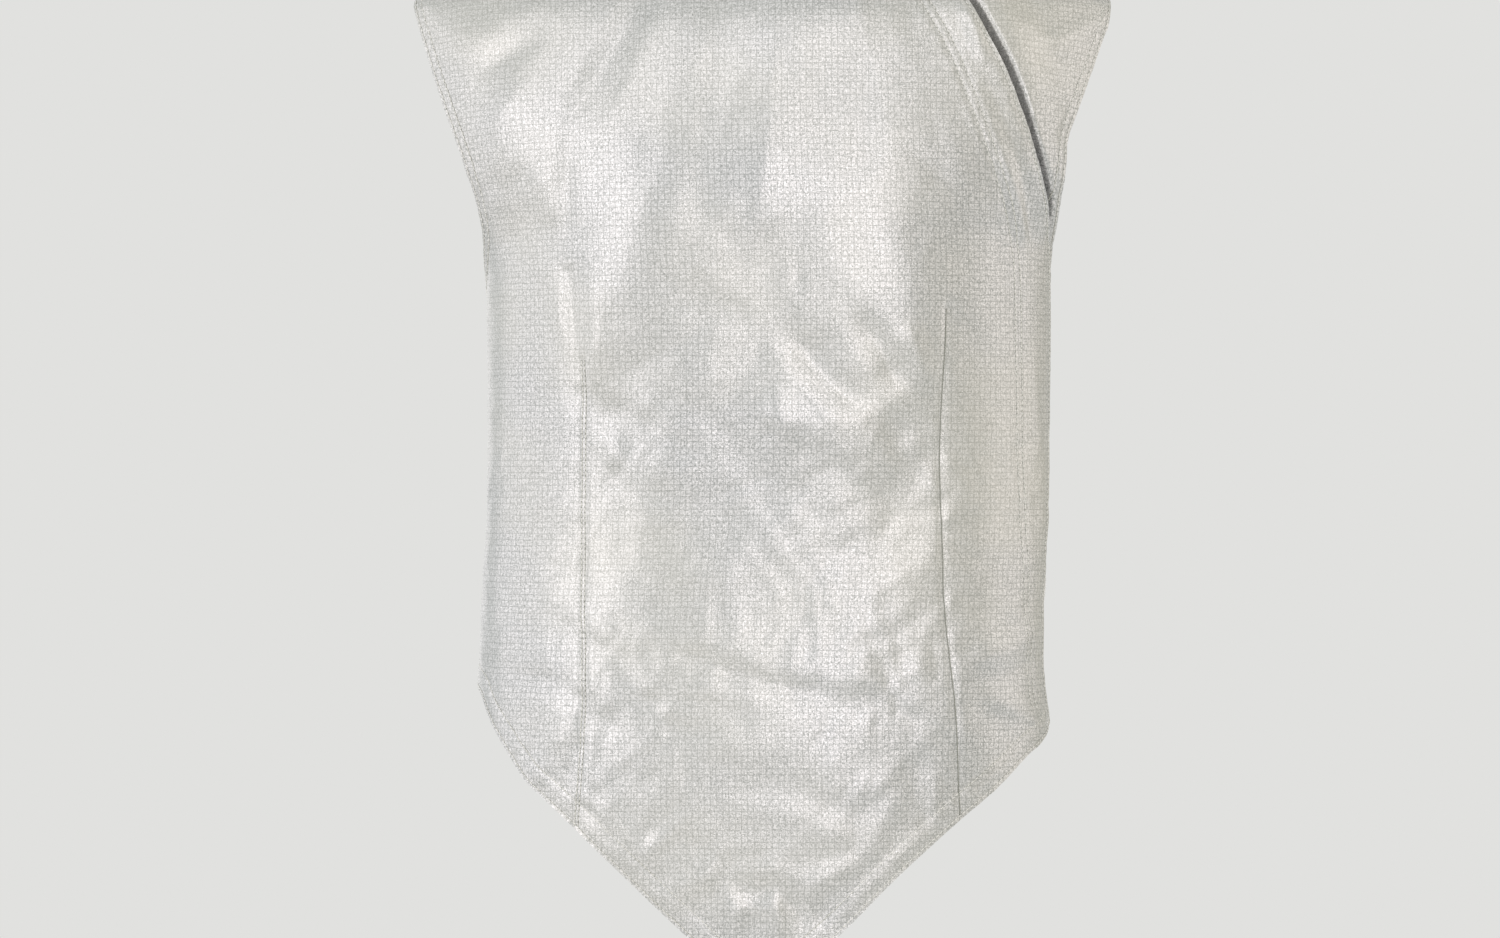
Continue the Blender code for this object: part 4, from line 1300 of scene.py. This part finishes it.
# %% Collar
def build_collar():
    """The collar, from the side panel's neck edge round the back to the flap."""
    lines = [
        neck_stations(*under_hung, 0, UNDER_NECK_CELLS),
        neck_stations(*back_hung, BACK_SEAM_CELLS, BACK_NECK_CELLS),
        neck_stations(*front_hung, SEAM_CELLS, sum(NECK_CELLS)),
    ]
    whole = lines[0]
    for line in lines[1:]:
        middle = (whole[:, -1:] + line[:, :1]) / 2
        whole = np.concatenate([whole[:, :-1], middle, line[:, 1:]], axis=1)
    edge, outward, step = whole
    outward, step = unit(outward), unit(step)
    lapped = np.zeros(len(edge))
    lapped[-NECK_CELLS[1] :] = np.linspace(0, 1, NECK_CELLS[1])
    level = edge * (1, 1, 0)
    radial = unit(level - level.mean(axis=0))
    up = unit(np.array([0, 0, 1.0]) - COLLAR_LEAN * radial)
    standing = unit(radial - (radial * up).sum(axis=1)[:, None] * up)
    base = edge + SEAM_GAP * step
    full = COLLAR_HEIGHT - COLLAR_LEVELLING * (edge[:, 2] - edge[:, 2].min())
    run = np.concatenate([[0], np.cumsum(np.linalg.norm(np.diff(edge, axis=0), axis=1))])
    rows, flat = [], []
    for share in np.linspace(1, 0, COLLAR_ROWS) ** 1.5:
        height = (share * full)[:, None]
        turned = 1 - np.exp(-height / COLLAR_BEND)
        level = base + step * COLLAR_BEND * turned + up * (height - COLLAR_BEND * turned)
        level += standing * COLLAR_LAP * turned * np.sqrt(lapped)[:, None]
        away = unit(outward * (1 - turned) + standing * turned)
        ripple = COLLAR_RIPPLE * noise_at(run / 26, height[:, 0] / 40, 60.5) * turned[:, 0]
        ripple *= 0.4 + 0.6 * share
        fold = COLLAR_FOLD * smooth_share((height[:, 0] - (full - COLLAR_FOLD_DEPTH)) / 2)
        rows.append(level + away * (COLLAR_LIFT + ripple + fold)[:, None])
        flat.append(np.stack([run, height[:, 0]], axis=1))
    points, flat = np.array(rows), np.array(flat)
    piece = cloth_piece("collar_cloth", "collar", points, flat)
    return piece, points


collar_cloth, collar_points = build_collar()

# %% [markdown]
# ## The cloth
#
# Lame is a ripstop-like weave: fine metal-wrapped thread in both directions, with a slightly thicker
# thread every few millimetres that draws a faint grid. Metal thread gives a soft, wide shine, so the
# shader is mostly metallic and fairly rough. Single threads catch the light on their own, which the
# bump and the speckle show. They are drawn about twice as coarse as they are, or they would vanish
# in the picture.

# %% Thread sizes and colours
GRID_PITCH, GRID_LINE, GRID_STRENGTH = 3.9 * MM, 0.38 * MM, 0.6
THREAD_WIDTH, THREAD_LENGTH, WARP_STRETCH = 0.75 * MM, 1.4 * MM, 1.6
CROSSING, SPARK_SHARE = (0.9 * MM, 0.8 * MM, 1), 0.5
GRID_WANDER, WEAVE_DEPTH = 1.2 * MM, 0.15 * MM
# The grid wanders about every 17 mm, and a patch of tarnish is about 140 mm across
WANDERS_PER_METRE, PATCHES_PER_METRE = 60.0, 7.0
LIGHT_THREAD, DARK_THREAD = linear("#FFFDFF"), linear("#9FA2A1")
GRID_THREAD, TARNISH = linear("#A4A6A5"), linear("#E2DFD4")
METAL_SHARE, ROUGH_BETWEEN, ROUGH_ON_TOP, TARNISH_SHARE = 0.58, 0.34, 0.26, 0.35
print("threads:", round(THREAD_WIDTH / MM, 2), "mm, grid:", round(GRID_PITCH / MM, 2), "mm")

# %% [markdown]
# The pattern's UV map is in metres, so a thread's size can be given as it is. Noise stretched along
# the threads makes them uneven, in two layers for the two directions. A ping-pong of the distance
# gives the lines of the grid.


# %% Patterns of thread
def grid_lines(tree, coordinate, wobble):
    """The thicker threads that cross one direction, and 0 between them."""
    moved = add_node(tree, "Math", {0: coordinate, 1: wobble}, operation="ADD").outputs[0]
    place = add_node(tree, "Math", {0: moved, 1: GRID_PITCH / 2}, operation="PINGPONG").outputs[0]
    span = {"From Min": 0.1 * MM, "From Max": GRID_LINE, "To Min": GRID_STRENGTH, "To Max": 0}
    line = add_node(tree, "MapRange", {"Value": place, **span}, interpolation_type="SMOOTHSTEP")
    return line.outputs[0]


def thread_noise(tree, pattern, width, length):
    """Uneven threads: noise that is stretched along them."""
    scale = (1 / width, 1 / length, 1)
    placed = add_node(tree, "Mapping", {"Vector": pattern, "Scale": scale}).outputs[0]
    inputs = {"Vector": placed, "Scale": 1.0, "Detail": 2.0, "Roughness": 0.6}
    return add_node(tree, "TexNoise", inputs, noise_dimensions="2D").outputs[0]


# %% [markdown]
# The two layers of thread give the colour, the roughness and the bump together, so a thread that
# stands up is also brighter and smoother, as a rubbed one is. The grid and a slight tarnish in
# patches are laid over the colour.


# %% Metal cloth
def lame_material():
    """Satin woven of metal thread."""
    made, tree, shader = new_material("woven_metal_lame", Metallic=METAL_SHARE)
    pattern = add_node(tree, "UVMap", uv_map="pattern").outputs[0]
    axes = add_node(tree, "SeparateXYZ", {0: pattern})
    warp = thread_noise(tree, pattern, THREAD_WIDTH, WARP_STRETCH * THREAD_LENGTH)
    weft = thread_noise(tree, pattern, THREAD_LENGTH, THREAD_WIDTH)
    both = add_node(tree, "Math", {0: warp, 1: weft}, operation="ADD").outputs[0]
    smooth = add_node(tree, "MapRange", {"Value": both, "From Min": 0.78, "From Max": 1.15}).outputs[0]
    crossing = add_node(tree, "VectorMath", {0: pattern, 1: CROSSING}, operation="SNAP").outputs[0]
    spark = add_node(tree, "TexWhiteNoise", {"Vector": crossing}, noise_dimensions="2D").outputs[0]
    speckle = add_node(tree, "Mix", {0: SPARK_SHARE, 2: smooth, 3: spark}).outputs[0]
    slow = {"Vector": pattern, "Scale": WANDERS_PER_METRE, "Detail": 1.0}
    drift = add_node(tree, "TexNoise", slow, noise_dimensions="2D").outputs[0]
    wobble = add_node(tree, "Math", {0: drift, 1: GRID_WANDER}, operation="MULTIPLY").outputs[0]
    down, over = [grid_lines(tree, axes.outputs[k], wobble) for k in (0, 1)]
    lines = add_node(tree, "Math", {0: down, 1: over}, operation="MAXIMUM").outputs[0]
    tones = {0: speckle, 6: DARK_THREAD, 7: LIGHT_THREAD}
    threads = add_node(tree, "Mix", tones, data_type="RGBA").outputs[2]
    lined = add_node(tree, "Mix", {0: lines, 6: threads, 7: GRID_THREAD}, data_type="RGBA").outputs[2]
    wide = {"Vector": pattern, "Scale": PATCHES_PER_METRE, "Detail": 2.0}
    patches = add_node(tree, "TexNoise", wide, noise_dimensions="2D").outputs[0]
    span = {"Value": patches, "From Min": 0.35, "From Max": 0.75, "To Max": TARNISH_SHARE}
    aged = add_node(tree, "MapRange", span).outputs[0]
    toned = add_node(tree, "Mix", {0: aged, 6: lined, 7: TARNISH}, data_type="RGBA").outputs[2]
    span = {"From Min": 0.8, "From Max": 1.2, "To Min": ROUGH_BETWEEN, "To Max": ROUGH_ON_TOP}
    rough = add_node(tree, "MapRange", {"Value": both, **span}).outputs[0]
    bump = add_node(tree, "Bump", {"Strength": 0.5, "Distance": WEAVE_DEPTH, "Height": both}).outputs[0]
    feed(tree, shader, Base_Color=toned, Roughness=rough, Normal=bump)
    return made


lame = lame_material()
for piece in (front_cloth, back_cloth, under_cloth, collar_cloth):
    piece.data.materials.clear()
    piece.data.materials.append(lame)
print(lame.name, "has", len(lame.node_tree.nodes), "nodes")

# %% [markdown]
# ## Stitches
#
# The thread is pale polyester. Each stitch is a short bead of it, a little flattened, that lies in
# its groove. One bead is modelled, and a loop lays its copies along every row as one joined mesh.

# %% One stitch
STITCH_PITCH, STITCH_LENGTH, THREAD = 3.3, 2.9, 0.7
STITCH_LIFT, FLATTENED = 0.2, 0.8


def edit_all():
    """Opens the active shape for editing, with all of it selected."""
    bpy.ops.object.mode_set(mode="EDIT")
    bpy.ops.mesh.select_all(action="SELECT")


def taken(model):
    """The points and faces of a modelled shape, which is then removed."""
    points = np.array([corner.co[:] for corner in model.data.vertices])
    faces = [tuple(face.vertices) for face in model.data.polygons]
    bpy.data.objects.remove(model, do_unlink=True)
    return points, faces


def thread_bead():
    """One stitch, in millimetres, lying along X."""
    deselect()
    bpy.ops.mesh.primitive_uv_sphere_add(segments=6, ring_count=4, radius=0.5)
    edit_all()
    size = (STITCH_LENGTH, THREAD, FLATTENED * THREAD)
    bpy.ops.transform.rotate(value=math.radians(90), orient_axis="Y", center_override=(0, 0, 0))
    bpy.ops.transform.resize(value=size, center_override=(0, 0, 0))
    bpy.ops.object.mode_set(mode="OBJECT")
    return taken(bpy.context.object)


BEAD = thread_bead()
print("a stitch has", len(BEAD[1]), "faces")

# %% [markdown]
# Hundreds of copies in one mesh are best placed as numbers: each copy is the bead's points, turned to
# three axes and moved to its centre.


# %% Copies, and a piece made of them
def copies(shape_points, shape_faces, centres, axes):
    """Points and faces of a shape's copies, each at a centre and turned to three axes."""
    points = centres[:, None] + np.einsum("pk,nkd->npd", shape_points, axes)
    size = len(shape_points)
    faces = [tuple(c + k * size for c in face) for k in range(len(centres)) for face in shape_faces]
    return points.reshape(-1, 3), faces


def small_piece(name, points, faces, slot):
    """A piece from points in millimetres, that rides with the garment."""
    mesh = bpy.data.meshes.new(name)
    mesh.from_pydata((points * MM).tolist(), [], faces)
    mesh.shade_smooth()
    piece = bpy.data.objects.new(name, mesh)
    bpy.context.scene.collection.objects.link(piece)
    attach(piece, "root")
    return piece


def bead_mesh(name, parts):
    """One mesh of stitches from lists of their centres, directions and ways out, in millimetres."""
    centres, along, out = map(np.concatenate, zip(*parts))
    axes = np.stack([along, np.cross(out, along), out], axis=1)
    print(name, "has", len(centres), "stitches")
    return small_piece(name, *copies(*BEAD, centres, axes), "silver_lame")


# %% [markdown]
# A panel's stitches follow its rows on the finished height, folds and all. On the collar the rows
# follow the grid that it was made of.


# %% Rows of stitches
def stitches(name, rows, rise, on_back=False):
    """All of a panel's rows of stitches."""
    parts = []
    for row in rows:
        length = np.linalg.norm(np.diff(row, axis=0), axis=1).sum()
        ends = evened(row, int(length / STITCH_PITCH))
        middle = (ends[1:] + ends[:-1]) / 2
        step = (ends[1:] - ends[:-1]) * (STITCH_LENGTH / STITCH_PITCH / 2)
        places, normals = surface(middle, rise(*middle.T) + STITCH_LIFT, on_back)
        before = surface(middle - step, rise(*(middle - step).T), on_back)[0]
        after = surface(middle + step, rise(*(middle + step).T), on_back)[0]
        along = unit(after - before)
        parts.append((places, along, unit(normals - (normals * along).sum(axis=1)[:, None] * along)))
    return bead_mesh(name, parts)


def collar_stitches(*rows):
    """Rows of stitches round the collar, at these rows of its grid."""
    parts = []
    for row in rows:
        line = collar_points[row]
        step = unit(np.gradient(line, axis=0))
        away = unit(np.cross(step, collar_points[row - 1] - collar_points[row + 1]))
        away *= np.sign((away * (line - line.mean(axis=0)) * (1, 1, 0)).sum(axis=1))[:, None]
        run = np.concatenate([[0], np.cumsum(np.linalg.norm(np.diff(line, axis=0), axis=1))])
        wanted = np.arange(STITCH_PITCH, run[-1] - 1, STITCH_PITCH)
        line, step, away = [
            np.stack([np.interp(wanted, run, values[:, k]) for k in range(3)], axis=1)
            for values in (line, step, away)
        ]
        parts.append((line + STITCH_LIFT * unit(away), unit(step), unit(away)))
    return bead_mesh("collar_stitches", parts)


# %% [markdown]
# Between the stitches the cloth in the groove lies in the shade. A narrow strip of painted shade,
# darker than the cloth, is laid over it, so that the shade shows at a distance, where the groove itself
# is too small to be seen.

# %% Grooves and their painted shade
SHADE_RIBBON_WIDTH, SHADE_RIBBON_STEP = 0.7, 3


def painted_shade_ribbons(name, rows, rise, on_back=False, lift=0.12):
    """Narrow strips of painted shade, darker than the cloth, along the groove between the stitches of
    each row.
    """
    points, faces = [], []
    for row in rows:
        length = np.linalg.norm(np.diff(row, axis=0), axis=1).sum()
        count = max(2, int(length / SHADE_RIBBON_STEP))
        line = evened(row, count)
        for side in (-1, 1):
            edge = offset_line(line, side * SHADE_RIBBON_WIDTH / 2)
            places, normals = surface(edge, rise(*edge.T), on_back)
            points.append(places + lift * normals)
        first = sum(map(len, points)) - 2 * (count + 1)
        faces += [(k, k + count + 1, k + count + 2, k + 1) for k in range(first, first + count)]
    points = np.concatenate(points)
    corners = points[np.array(faces)[:, :3]]
    turned = np.cross(corners[:, 1] - corners[:, 0], corners[:, 2] - corners[:, 0])
    if (turned * (corners.mean(axis=1) * (1, 1, 0))).sum() < 0:
        faces = [face[::-1] for face in faces]
    return small_piece(name, points, faces, "silver_lame")


# %% [markdown]
# The thread is two plies of polyester, twisted, so fine slanting bands cross each stitch. The strips in
# the groove under it are painted shade: darker, duller tones of the lame that stand for the shade
# there, darkest along the darts.


# %% Thread and painted shade
def banded_material(name, dark, light, band, roughness, metallic=0.0):
    """Two tones in fine slanting bands, with a little noise in them, on Object coordinates."""
    made, tree, shader = new_material(name, Metallic=metallic)
    place = add_node(tree, "TexCoord").outputs["Object"]
    # A wave texture has 10 / pi bands in each metre at scale 1
    inputs = {"Vector": place, "Scale": math.pi / 10 / band, "Distortion": 2.0}
    inputs.update({"Detail": 1.0, "Detail Scale": 2.0})
    bands = add_node(tree, "TexWave", inputs, bands_direction="DIAGONAL").outputs["Fac"]
    tones = {0: bands, 6: linear(dark), 7: linear(light)}
    colour = add_node(tree, "Mix", tones, data_type="RGBA").outputs[2]
    span = {"Value": bands, "To Min": roughness + 0.1, "To Max": roughness - 0.05}
    rough = add_node(tree, "MapRange", span).outputs[0]
    bump = add_node(tree, "Bump", {"Strength": 0.5, "Distance": 0.1 * MM, "Height": bands}).outputs[0]
    feed(tree, shader, Base_Color=colour, Roughness=rough, Normal=bump)
    return made


thread = banded_material("twisted_polyester_thread", "#E4E2DC", "#FFFEFA", 0.5 * MM, 0.55)
# painted shade: darker, duller strips that stand for the shade in the stitch grooves and along the
# darts
shade = banded_material("painted_seam_shade", "#A4A59F", "#C0C1BB", 0.8 * MM, 0.6, 0.3)
dart_shade_material = banded_material("painted_dart_shade", "#8C8D86", "#A6A79F", 0.8 * MM, 0.6, 0.3)

SEWN_ROWS = {
    "front": (FRONT_ROWS, front_rise),
    "back": (BACK_ROWS, back_rise, True),
    "side": (UNDER_ROWS, under_rise),
}
sewn = [(stitches(name + "_stitches", *rows), thread) for name, rows in SEWN_ROWS.items()]
sewn.append((collar_stitches(1, COLLAR_ROWS - 6), thread))
# strips of painted shade go along every row of stitches, and darker ones along both darts
sewn += [(painted_shade_ribbons(name + "_grooves", *rows), shade) for name, rows in SEWN_ROWS.items()]
# the darts get the darkest painted shade, a thin dark line that stands for the shade in their seams
sewn.append((painted_shade_ribbons("dart_seams", (left_dart, right_dart), front_rise, lift=0.2), dart_shade_material))
for piece, material in sewn:
    piece.data.materials.append(material)

# %% [markdown]
# ## Zip
#
# The zip closes the garment under the flap, where it hardly shows. Its two tapes are the packed
# nodes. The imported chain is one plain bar, so rows of teeth replace it: one tooth is modelled flat,
# copied, and all the copies are then bent onto the form. The slider and its tab are made in the same
# way. In these flat models X is the way across the zip, Y is the height and Z is the lift off the
# form.

# %% Zip sizes
ZIP_INSET, CHAIN_LIFT, CHAIN_THICK = 26.0, 2.0, 2.3
CHAIN_TOP_Z, CHAIN_BOTTOM_Z = -68.0, -502.0
TOOTH_PITCH, TOOTH_LENGTH, TOOTH_WIDTH = 2.4, 1.8, 1.1
TOOTH_OFFSET, TOOTH_EDGE, TOOTH_WAIST = 0.58, 0.22, 0.8
SLIDER_LIFT, SLIDER_TOP_Z, SLIDER_LENGTH = 3.3, -58.0, 9.4
SLIDER_WIDTH, SLIDER_THICK, SLIDER_TAPER = 8.0, 1.3, 0.72
BRIDGE_INSET, SLIDER_EDGE = 2.4, 0.12
TAB_TOP_Z, TAB_WIDTH, TAB_THICK, TAB_EDGE = -45.0, 4.0, 1.0, 0.18


def bent_on_zip(points):
    """Flat points beside the zip's line, laid on the form."""
    across = inside_flap(ZIP_INSET, points[:, 1]) + points[:, 0]
    turn = to_turn(across, points[:, 1])
    normals = form_normals(turn, points[:, 1])
    return form_points(turn, points[:, 1]) + normals * points[:, 2:]


print("zip:", CHAIN_TOP_Z - CHAIN_BOTTOM_Z, "mm long")

# %% [markdown]
# A tooth is a small block with a narrow waist. Those of one tape point to the other and stand half a
# pitch off, so that they mesh.


# %% Teeth
def zip_tooth():
    """One tooth, pointing to +X: a block with a narrow waist and rounded edges."""
    deselect()
    bpy.ops.mesh.primitive_cube_add(size=1)
    edit_all()
    bpy.ops.transform.resize(value=(TOOTH_LENGTH, TOOTH_WIDTH, CHAIN_THICK), center_override=(0, 0, 0))
    bpy.ops.mesh.bevel(offset=TOOTH_EDGE, segments=1, affect="EDGES")
    bpy.ops.object.mode_set(mode="OBJECT")
    points, faces = taken(bpy.context.object)
    points[:, 1] *= np.where(np.abs(points[:, 0]) < TOOTH_WAIST * TOOTH_LENGTH / 2, TOOTH_WAIST, 1.0)
    return points, faces


def zip_teeth():
    """Both rows of teeth, closed."""
    count = int((CHAIN_TOP_Z - CHAIN_BOTTOM_Z) / TOOTH_PITCH)
    centres, axes = [], []
    for k in range(count):
        for side in (-1, 1):
            height = CHAIN_TOP_Z - (k + 0.5 + 0.25 * side) * TOOTH_PITCH
            centres.append((TOOTH_OFFSET * side, height, CHAIN_LIFT + CHAIN_THICK / 2))
            axes.append(((-side, 0, 0), (0, -side, 0), (0, 0, 1)))
    flat, faces = copies(*zip_tooth(), np.array(centres), np.array(axes, float))
    teeth = small_piece("zip_teeth", bent_on_zip(flat), faces, "zip_metal")
    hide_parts("zip_chain")
    print("zip teeth:", 2 * count)
    return teeth


# %% [markdown]
# The slider is a plate that narrows towards its foot, with a bridge down its middle that holds the
# tab. The tab is a flat strip with a slot through its end, cut out of a grid before the grid gets
# its thickness.


# %% Slider
def slider_body():
    """The slider's plate and bridge."""
    deselect()
    bpy.ops.mesh.primitive_cube_add(size=1)
    body = bpy.context.object
    edit_all()
    size = (SLIDER_WIDTH, SLIDER_LENGTH, 0.55 * SLIDER_THICK)
    bpy.ops.transform.resize(value=size, center_override=(0, 0, 0))
    bpy.ops.mesh.select_mode(type="FACE")
    bpy.ops.mesh.select_all(action="DESELECT")
    bpy.ops.object.mode_set(mode="OBJECT")
    for corner in body.data.vertices:
        if corner.co.y < 0:
            corner.co.x *= SLIDER_TAPER
    for face in body.data.polygons:
        face.select = face.normal.z > 0.9
    bpy.ops.object.mode_set(mode="EDIT")
    bpy.ops.mesh.inset(thickness=BRIDGE_INSET, depth=0)
    bpy.ops.mesh.extrude_region_move(TRANSFORM_OT_translate={"value": (0, 0, 0.4 * SLIDER_THICK)})
    bpy.ops.mesh.select_all(action="SELECT")
    bpy.ops.mesh.bevel(offset=SLIDER_EDGE, segments=1, affect="EDGES")
    bpy.ops.object.mode_set(mode="OBJECT")
    points, faces = taken(body)
    return points + (0, SLIDER_TOP_Z - SLIDER_LENGTH / 2, SLIDER_LIFT - points[:, 2].min()), faces

# %% [markdown]
# The tab's slot is a few faces of the grid, picked by their place and taken out.


# %% Tab
def slider_tab():
    """The flat tab, with a slot through its end."""
    length = TAB_TOP_Z - SLIDER_TOP_Z - 0.3
    deselect()
    bpy.ops.mesh.primitive_grid_add(x_subdivisions=4, y_subdivisions=9, size=1)
    tab = bpy.context.object
    bpy.ops.object.mode_set(mode="EDIT")
    bpy.ops.mesh.select_mode(type="FACE")
    bpy.ops.mesh.select_all(action="DESELECT")
    bpy.ops.object.mode_set(mode="OBJECT")
    for corner in tab.data.vertices:
        corner.co.x *= TAB_WIDTH
        corner.co.y *= length
    for face in tab.data.polygons:
        face.select = abs(face.center.x) < TAB_WIDTH / 4 and 0.1 < face.center.y / length < 0.4
    bpy.ops.object.mode_set(mode="EDIT")
    bpy.ops.mesh.delete(type="FACE")
    bpy.ops.object.mode_set(mode="OBJECT")
    apply_modifier(tab, "SOLIDIFY", thickness=TAB_THICK - 0.1, offset=0)
    apply_modifier(tab, "BEVEL", width=TAB_EDGE, segments=2)
    points, faces = taken(tab)
    return points + (0, TAB_TOP_Z - length / 2, SLIDER_LIFT + TAB_THICK / 2), faces

# %% [markdown]
# Both are bent onto the form in one piece, because they lie on each other.


# %% Slider and tab in place
def zip_slider():
    """The slider with its tab, in one piece."""
    plate, faces = slider_body()
    tab, tab_faces = slider_tab()
    faces += [tuple(corner + len(plate) for corner in face) for face in tab_faces]
    flat = np.concatenate([plate, tab])
    slider = small_piece("zip_pull", bent_on_zip(flat), faces, "zip_metal")
    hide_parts("zip_slider")
    print("slider and tab:", np.round(np.ptp(flat, axis=0), 1), "mm,", len(faces), "faces")
    return slider


zip_parts = (zip_teeth(), zip_slider())

# %% [markdown]
# The tapes are woven polyester with a fine rib across them. The metal is nickel-plated brass, which
# is duller where it is rubbed.


# %% Tape
RIB_PITCH = 0.8 * MM
# Fluff on the tape about 1 mm across, and rubbed patches of the metal about 5 mm across
FLUFF_PER_METRE, RUBS_PER_METRE = 900.0, 220.0


def tape_material():
    """Matt woven tape, ribbed across."""
    made, tree, shader = new_material("woven_polyester_tape", Roughness=0.8)
    place = add_node(tree, "TexCoord").outputs["Object"]
    rib = {"Vector": place, "Scale": math.pi / 10 / RIB_PITCH, "Distortion": 0.6}
    ribs = add_node(tree, "TexWave", rib, bands_direction="Z").outputs["Fac"]
    fine = {"Vector": place, "Scale": FLUFF_PER_METRE, "Detail": 2.0}
    fluff = add_node(tree, "TexNoise", fine).outputs[0]
    both = add_node(tree, "Math", {0: ribs, 1: fluff}, operation="MULTIPLY").outputs[0]
    tones = {0: both, 6: linear("#A9ABA9"), 7: linear("#DADBD8")}
    colour = add_node(tree, "Mix", tones, data_type="RGBA").outputs[2]
    bump = add_node(tree, "Bump", {"Strength": 0.6, "Distance": 0.2 * MM, "Height": both}).outputs[0]
    feed(tree, shader, Base_Color=colour, Normal=bump)
    return made

# %% [markdown]
# Hands rub the slider, and the teeth rub each other, so soft noise makes the plating uneven.


# %% Nickel
def nickel_material():
    """Dull nickel, rougher in rubbed patches."""
    made, tree, shader = new_material("nickel_plated_brass", Metallic=1.0)
    place = add_node(tree, "TexCoord").outputs["Object"]
    rubs = {"Vector": place, "Scale": RUBS_PER_METRE, "Detail": 3.0}
    rubbed = add_node(tree, "TexNoise", rubs).outputs[0]
    tones = {0: rubbed, 6: linear("#A6A49C"), 7: linear("#C9C7C1")}
    colour = add_node(tree, "Mix", tones, data_type="RGBA").outputs[2]
    rough = add_node(tree, "MapRange", {"Value": rubbed, "To Min": 0.25, "To Max": 0.5}).outputs[0]
    feed(tree, shader, Base_Color=colour, Roughness=rough)
    return made


tape, nickel = tape_material(), nickel_material()
for piece in zip_parts:
    piece.data.materials.append(nickel)
for name in ("zip_tape_side", "zip_tape_front"):
    for slot in bpy.data.objects[name].material_slots:
        slot.material = tape
print("finishes:", ", ".join(made.name for made in (lame, thread, shade, dart_shade_material, tape, nickel)))
